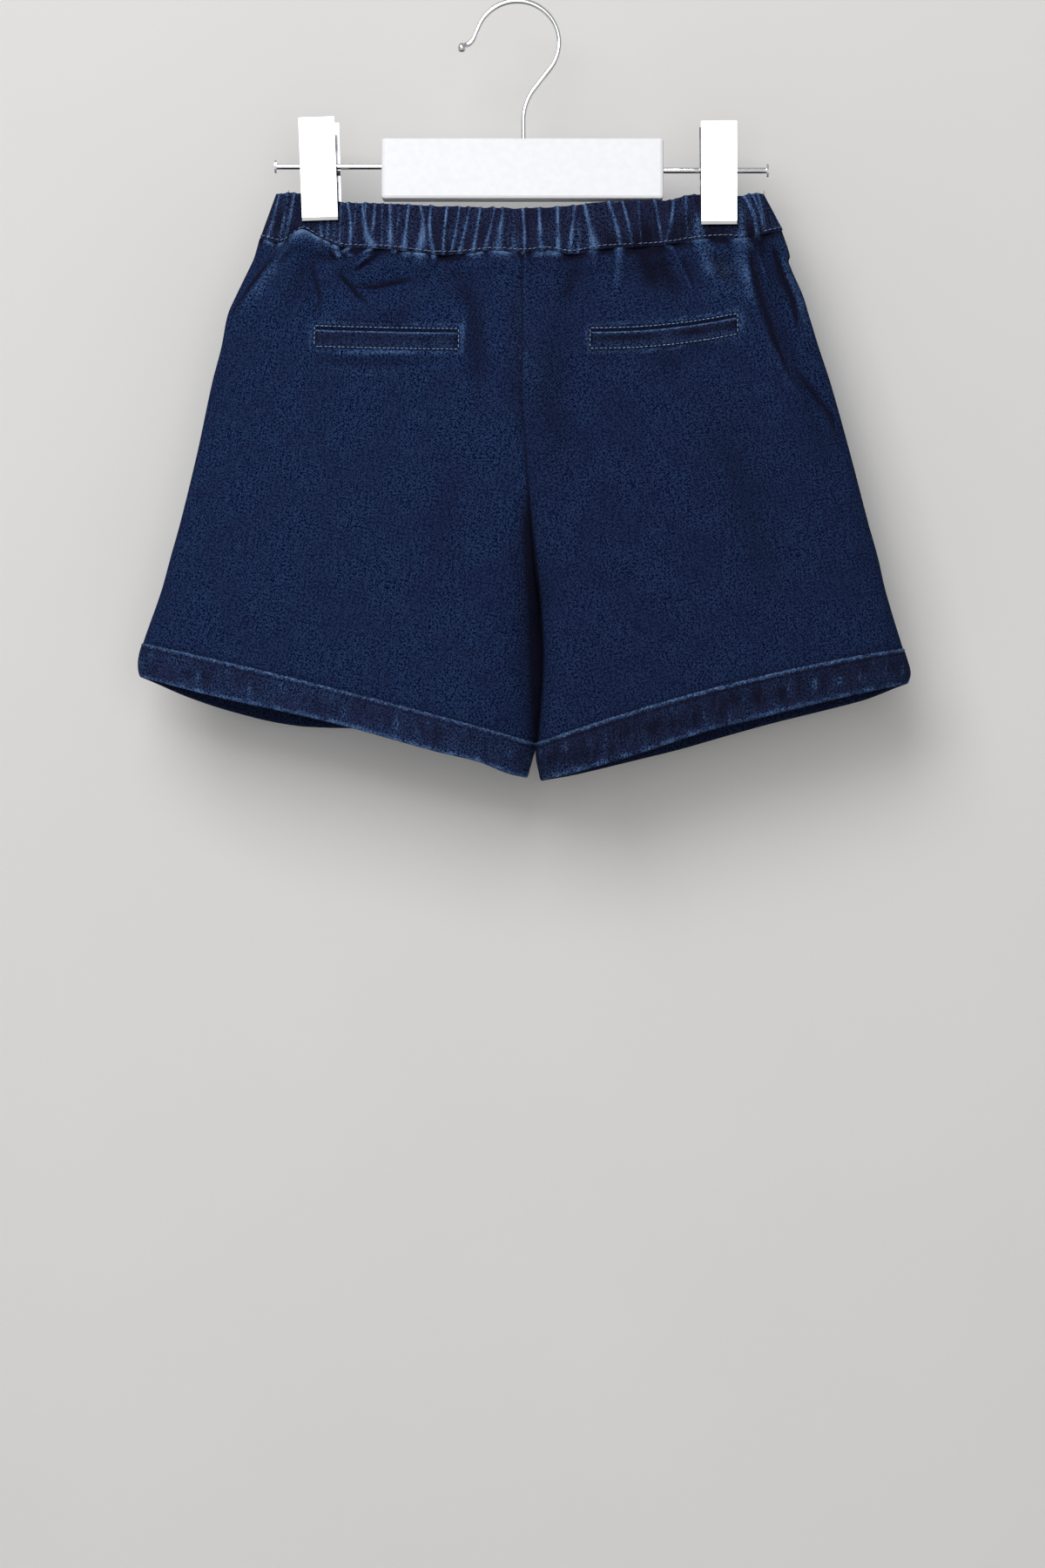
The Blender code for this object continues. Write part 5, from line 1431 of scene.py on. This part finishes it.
# ---------------------------------------------------------------- the hook's wire
def hook_path():
    """The hook's centre line (x, z) from its stem in the block, round the bend, to the turned-out tip."""
    centre_z = WIRE_R - HOOK_BEND_R
    leave, arrive, tip_turn = (math.radians(v) for v in (HOOK_LEAVES, HOOK_ARRIVES, HOOK_TIP_TURN))
    end_x, end_z = HOOK_BEND_R * math.cos(leave), centre_z + HOOK_BEND_R * math.sin(leave)
    run = (end_x - HOOK_STEM_X - HOOK_NECK_R * (1 - math.cos(leave))) / -math.sin(leave)
    stem_top = end_z - math.cos(leave) * run + HOOK_NECK_R * math.sin(leave)
    path = [(HOOK_STEM_X, BLOCK_TOP_Z - STEM_SEAT), (HOOK_STEM_X, BLOCK_TOP_Z)]
    for i in range(16):
        a = -leave * i / 15
        path.append((HOOK_STEM_X + HOOK_NECK_R * (1 - math.cos(a)), stem_top + HOOK_NECK_R * math.sin(a)))
    for i in range(73):
        a = mix(leave, arrive, i / 72)
        path.append((HOOK_BEND_R * math.cos(a), centre_z + HOOK_BEND_R * math.sin(a)))
    # A short straight run leaves the bend, turns out and ends at the ball.
    heading = arrive + math.pi / 2
    x, z = path[-1]
    for turn, step in [(0.0, HOOK_TIP_RUN)] + [(-tip_turn / 8, 0.6)] * 8 + [(0.0, 2.0)]:
        heading += turn
        x, z = x + step * math.cos(heading), z + step * math.sin(heading)
        path.append((x, z))
    return path


def make_hook(name, look, sides=20):
    """The wire with the ball at its tip: round sections along the hook's centre line."""
    path = hook_path()
    radii = [WIRE_R] * len(path)
    (x0, z0), (x1, z1) = path[-2:]
    long = math.hypot(x1 - x0, z1 - z0)
    start = math.pi - math.asin(WIRE_R / HOOK_BALL_R)
    for i in range(1, 14):
        angle = mix(start, 0.12, i / 13)
        ahead = HOOK_BALL_R * (math.cos(angle) - math.cos(start))
        path.append((x1 + (x1 - x0) / long * ahead, z1 + (z1 - z0) / long * ahead))
        radii.append(HOOK_BALL_R * math.sin(angle))
    path, radii = np.array(path), np.array(radii)
    along = np.gradient(path, axis=0)
    along = along / np.linalg.norm(along, axis=1, keepdims=True)
    up = np.stack([-along[:, 1], 0 * radii, along[:, 0]], axis=1)
    side = np.array([[0.0, 1.0, 0.0]])
    turn = (np.arange(sides) * 2 * math.pi / sides)[None, :, None]
    centre = np.stack([path[:, 0], 0 * radii, path[:, 1]], axis=1)
    around = up[:, None] * np.cos(turn) + side[:, None] * np.sin(turn)
    rings = centre[:, None] + around * radii[:, None, None]
    return round_bars(name, rings[None] * MM, look, 60)


# ---------------------------------------------------------------- light, camera and wall
def add_plane(name, centre, size, turn, look):
    """A flat backdrop, width by length, turned about its centre."""
    half_x, half_y = size[0] / 2, size[1] / 2
    corners = [(-half_x, -half_y, 0), (half_x, -half_y, 0), (half_x, half_y, 0), (-half_x, half_y, 0)]
    made = add_mesh(name, corners, [(0, 1, 2, 3)], [look])
    made.location, made.rotation_euler = centre, turn
    return made


def add_area(name, place, target, size, watts):
    """A rectangular lamp that faces its target."""
    data = bpy.data.lights.new(name, "AREA")
    data.shape, data.size, data.size_y = "RECTANGLE", size[0], size[1]
    data.energy = watts
    lamp = bpy.data.objects.new(name, data)
    bpy.context.scene.collection.objects.link(lamp)
    lamp.location = place
    way = Vector(target) - Vector(place)
    lamp.rotation_euler = way.to_track_quat("-Z", "Y").to_euler()


def add_camera():
    """The view of the photograph, square on to the back of the shorts."""
    data = bpy.data.cameras.new("view")
    data.lens, data.sensor_width = CAMERA_LENS, 36.0
    camera = bpy.data.objects.new("view", data)
    bpy.context.scene.collection.objects.link(camera)
    camera.location, camera.rotation_euler = CAMERA_PLACE, (math.pi / 2, 0.0, 0.0)
    bpy.context.scene.camera = camera


CAMERA_PLACE, CAMERA_LENS = (0.003, -2.3, -0.448), 92.0
WALL_Y, FLOOR_Z, BACKDROP = 0.06, -1.15, (7.0, 5.0)
LAMPS = (
    # name, place, what it shines at, width and height, watts
    ("key", (-0.75, -2.1, 1.15), (0, 0, -0.25), (1.7, 1.7), 55.0),
    ("front_panel", (0.1, -3.0, -0.1), (0, 0, -0.2), (2.0, 1.6), 24.0),
    ("rear", (-0.6, 1.9, 0.6), (0, 0, -0.3), (1.4, 1.4), 26.0),
    ("rear_low", (0.9, 1.7, -0.5), (0, 0, -0.3), (1.0, 1.0), 10.0),
)
PANEL_GRID = {-1: (196, 222), 1: (120, 136)}  # columns and rows of a back and a front panel
BAND_COLUMNS, HEM_COLUMNS, WELT_COLUMNS = 470, 180, 96

# The pale of worn yarn, which the painted highlights use too.
worn = rgb(0.055, 0.112, 0.250)
denim = denim_look(
    "denim_indigo",
    dark=rgb(0.0006, 0.0026, 0.0185),
    light=rgb(0.0152, 0.0305, 0.0820),
    pale=worn,
    tint=rgb(0.0068, 0.0108, 0.037),
)
denim_reverse = denim_look(
    "denim_reverse",
    dark=rgb(0.035, 0.05, 0.085),
    light=rgb(0.075, 0.10, 0.15),
    pale=rgb(0.20, 0.25, 0.32),
    tint=rgb(0.06, 0.08, 0.13),
)
denim_band = denim_look(
    "denim_waistband",
    dark=rgb(0.0012, 0.0032, 0.017),
    light=rgb(0.0235, 0.034, 0.080),
    pale=worn,
    tint=rgb(0.0105, 0.0095, 0.030),
    granular=1.2,
    cloudy=0.5,
)
denim_hem = denim_look(
    "denim_hem",
    dark=rgb(0.0008, 0.0036, 0.021),
    light=rgb(0.0225, 0.0395, 0.096),
    pale=worn,
    tint=rgb(0.0105, 0.0115, 0.037),
    granular=1.2,
    cloudy=0.45,
)
pale_thread = thread_look("thread_pale", rgb(0.28, 0.40, 0.56), rgb(0.09, 0.14, 0.24))
blue_thread = thread_look("thread_blue", rgb(0.034, 0.062, 0.130), rgb(0.012, 0.024, 0.058))
# The second colour of each chrome is its painted dark reflection.
chrome = chrome_look("chrome_plate", rgb(0.88, 0.89, 0.91), rgb(0.16, 0.16, 0.18))
# A darker copy of the chrome, as painted shade on the parts behind the cloth.
chrome_in_shade = chrome_look("chrome_in_painted_shade", rgb(0.28, 0.28, 0.29), rgb(0.08, 0.08, 0.085))
paint = paint_look("satin_white")

made = []
for word, side in (("left", -1), ("right", 1)):
    for label, face in (("back", -1), ("front", 1)):
        panel = make_panel(f"cloth_{label}_{word}", side, face, [denim, denim_reverse])
        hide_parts(f"{label}_{word}")
        made.append(panel)
    hem, hem_outer, hem_out, hem_levels = make_hem(f"cloth_hem_{word}", side, [denim_hem])
    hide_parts(f"hem_{word}")
    made.append(hem)
    line = sewing_line(hem_outer, hem_out, hem_levels, *HEM_SEWN)
    sewn = stitches(
        f"hem_stitches_{word}", line, blue_thread, *STITCHES["hem"], closed=True, seed=8 + side
    )
    made.append(sewn)
    welt = make_welt(f"cloth_welt_{word}", side, [denim_hem])
    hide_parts(f"welt_{word}")
    made.append(welt)
    sewn = stitches(
        f"pocket_stitches_{word}", pocket_lines(side), pale_thread, *STITCHES["pocket"], seed=4 + side
    )
    made.append(sewn)

band, band_outer, band_out, band_levels = make_waistband("cloth_waistband", [denim_band])
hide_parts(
    "waistband_back_left", "waistband_back_right", "waistband_front_left", "waistband_front_right"
)
made.append(band)
line = sewing_line(band_outer, band_out, band_levels, *BAND_SEWN)
sewn = stitches(
    "waist_stitches", line, pale_thread, *STITCHES["waist"], closed=True, seed=3, sunk=STITCHES_SUNK
)
made.append(sewn)
loose = frayed_ends("frayed_ends", blue_thread)
made.append(loose)

hook = make_hook("wire_hook", chrome)
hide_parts("hanger_hook")
made.append(hook)
for piece in made:
    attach(piece, "root")
for name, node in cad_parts.items():
    if name.startswith(("rod", "clip", "hanger")):
        # painted shade: the clips' front plates and springs take the darker copy of the chrome
        look = chrome_in_shade if name.endswith(("front_plate", "spring")) else chrome
        look = paint if name == "hanger_block" else look
        for place in range(len(node.data.materials)):
            node.data.materials[place] = look

plaster = backdrop_look("wall", rgb(0.598, 0.590, 0.580))
wall = add_plane("wall", (0, WALL_Y, -0.4), BACKDROP, (math.pi / 2, 0, 0), plaster)
boards = backdrop_look("floor", rgb(0.5, 0.49, 0.475))
floor = add_plane("floor", (0, -1.2, FLOOR_Z), BACKDROP, (0, 0, 0), boards)
wall.visible_shadow = False

for lamp in LAMPS:
    add_area(*lamp)
world = bpy.data.worlds.new("room")
bpy.context.scene.world = world
world.use_nodes = True
air = world.node_tree.nodes["Background"]
air.inputs["Color"].default_value, air.inputs["Strength"].default_value = rgb(0.97, 0.985, 1.0), 0.34
bpy.context.scene.view_settings.view_transform = "Standard"
add_camera()

bpy.context.view_layer.update()
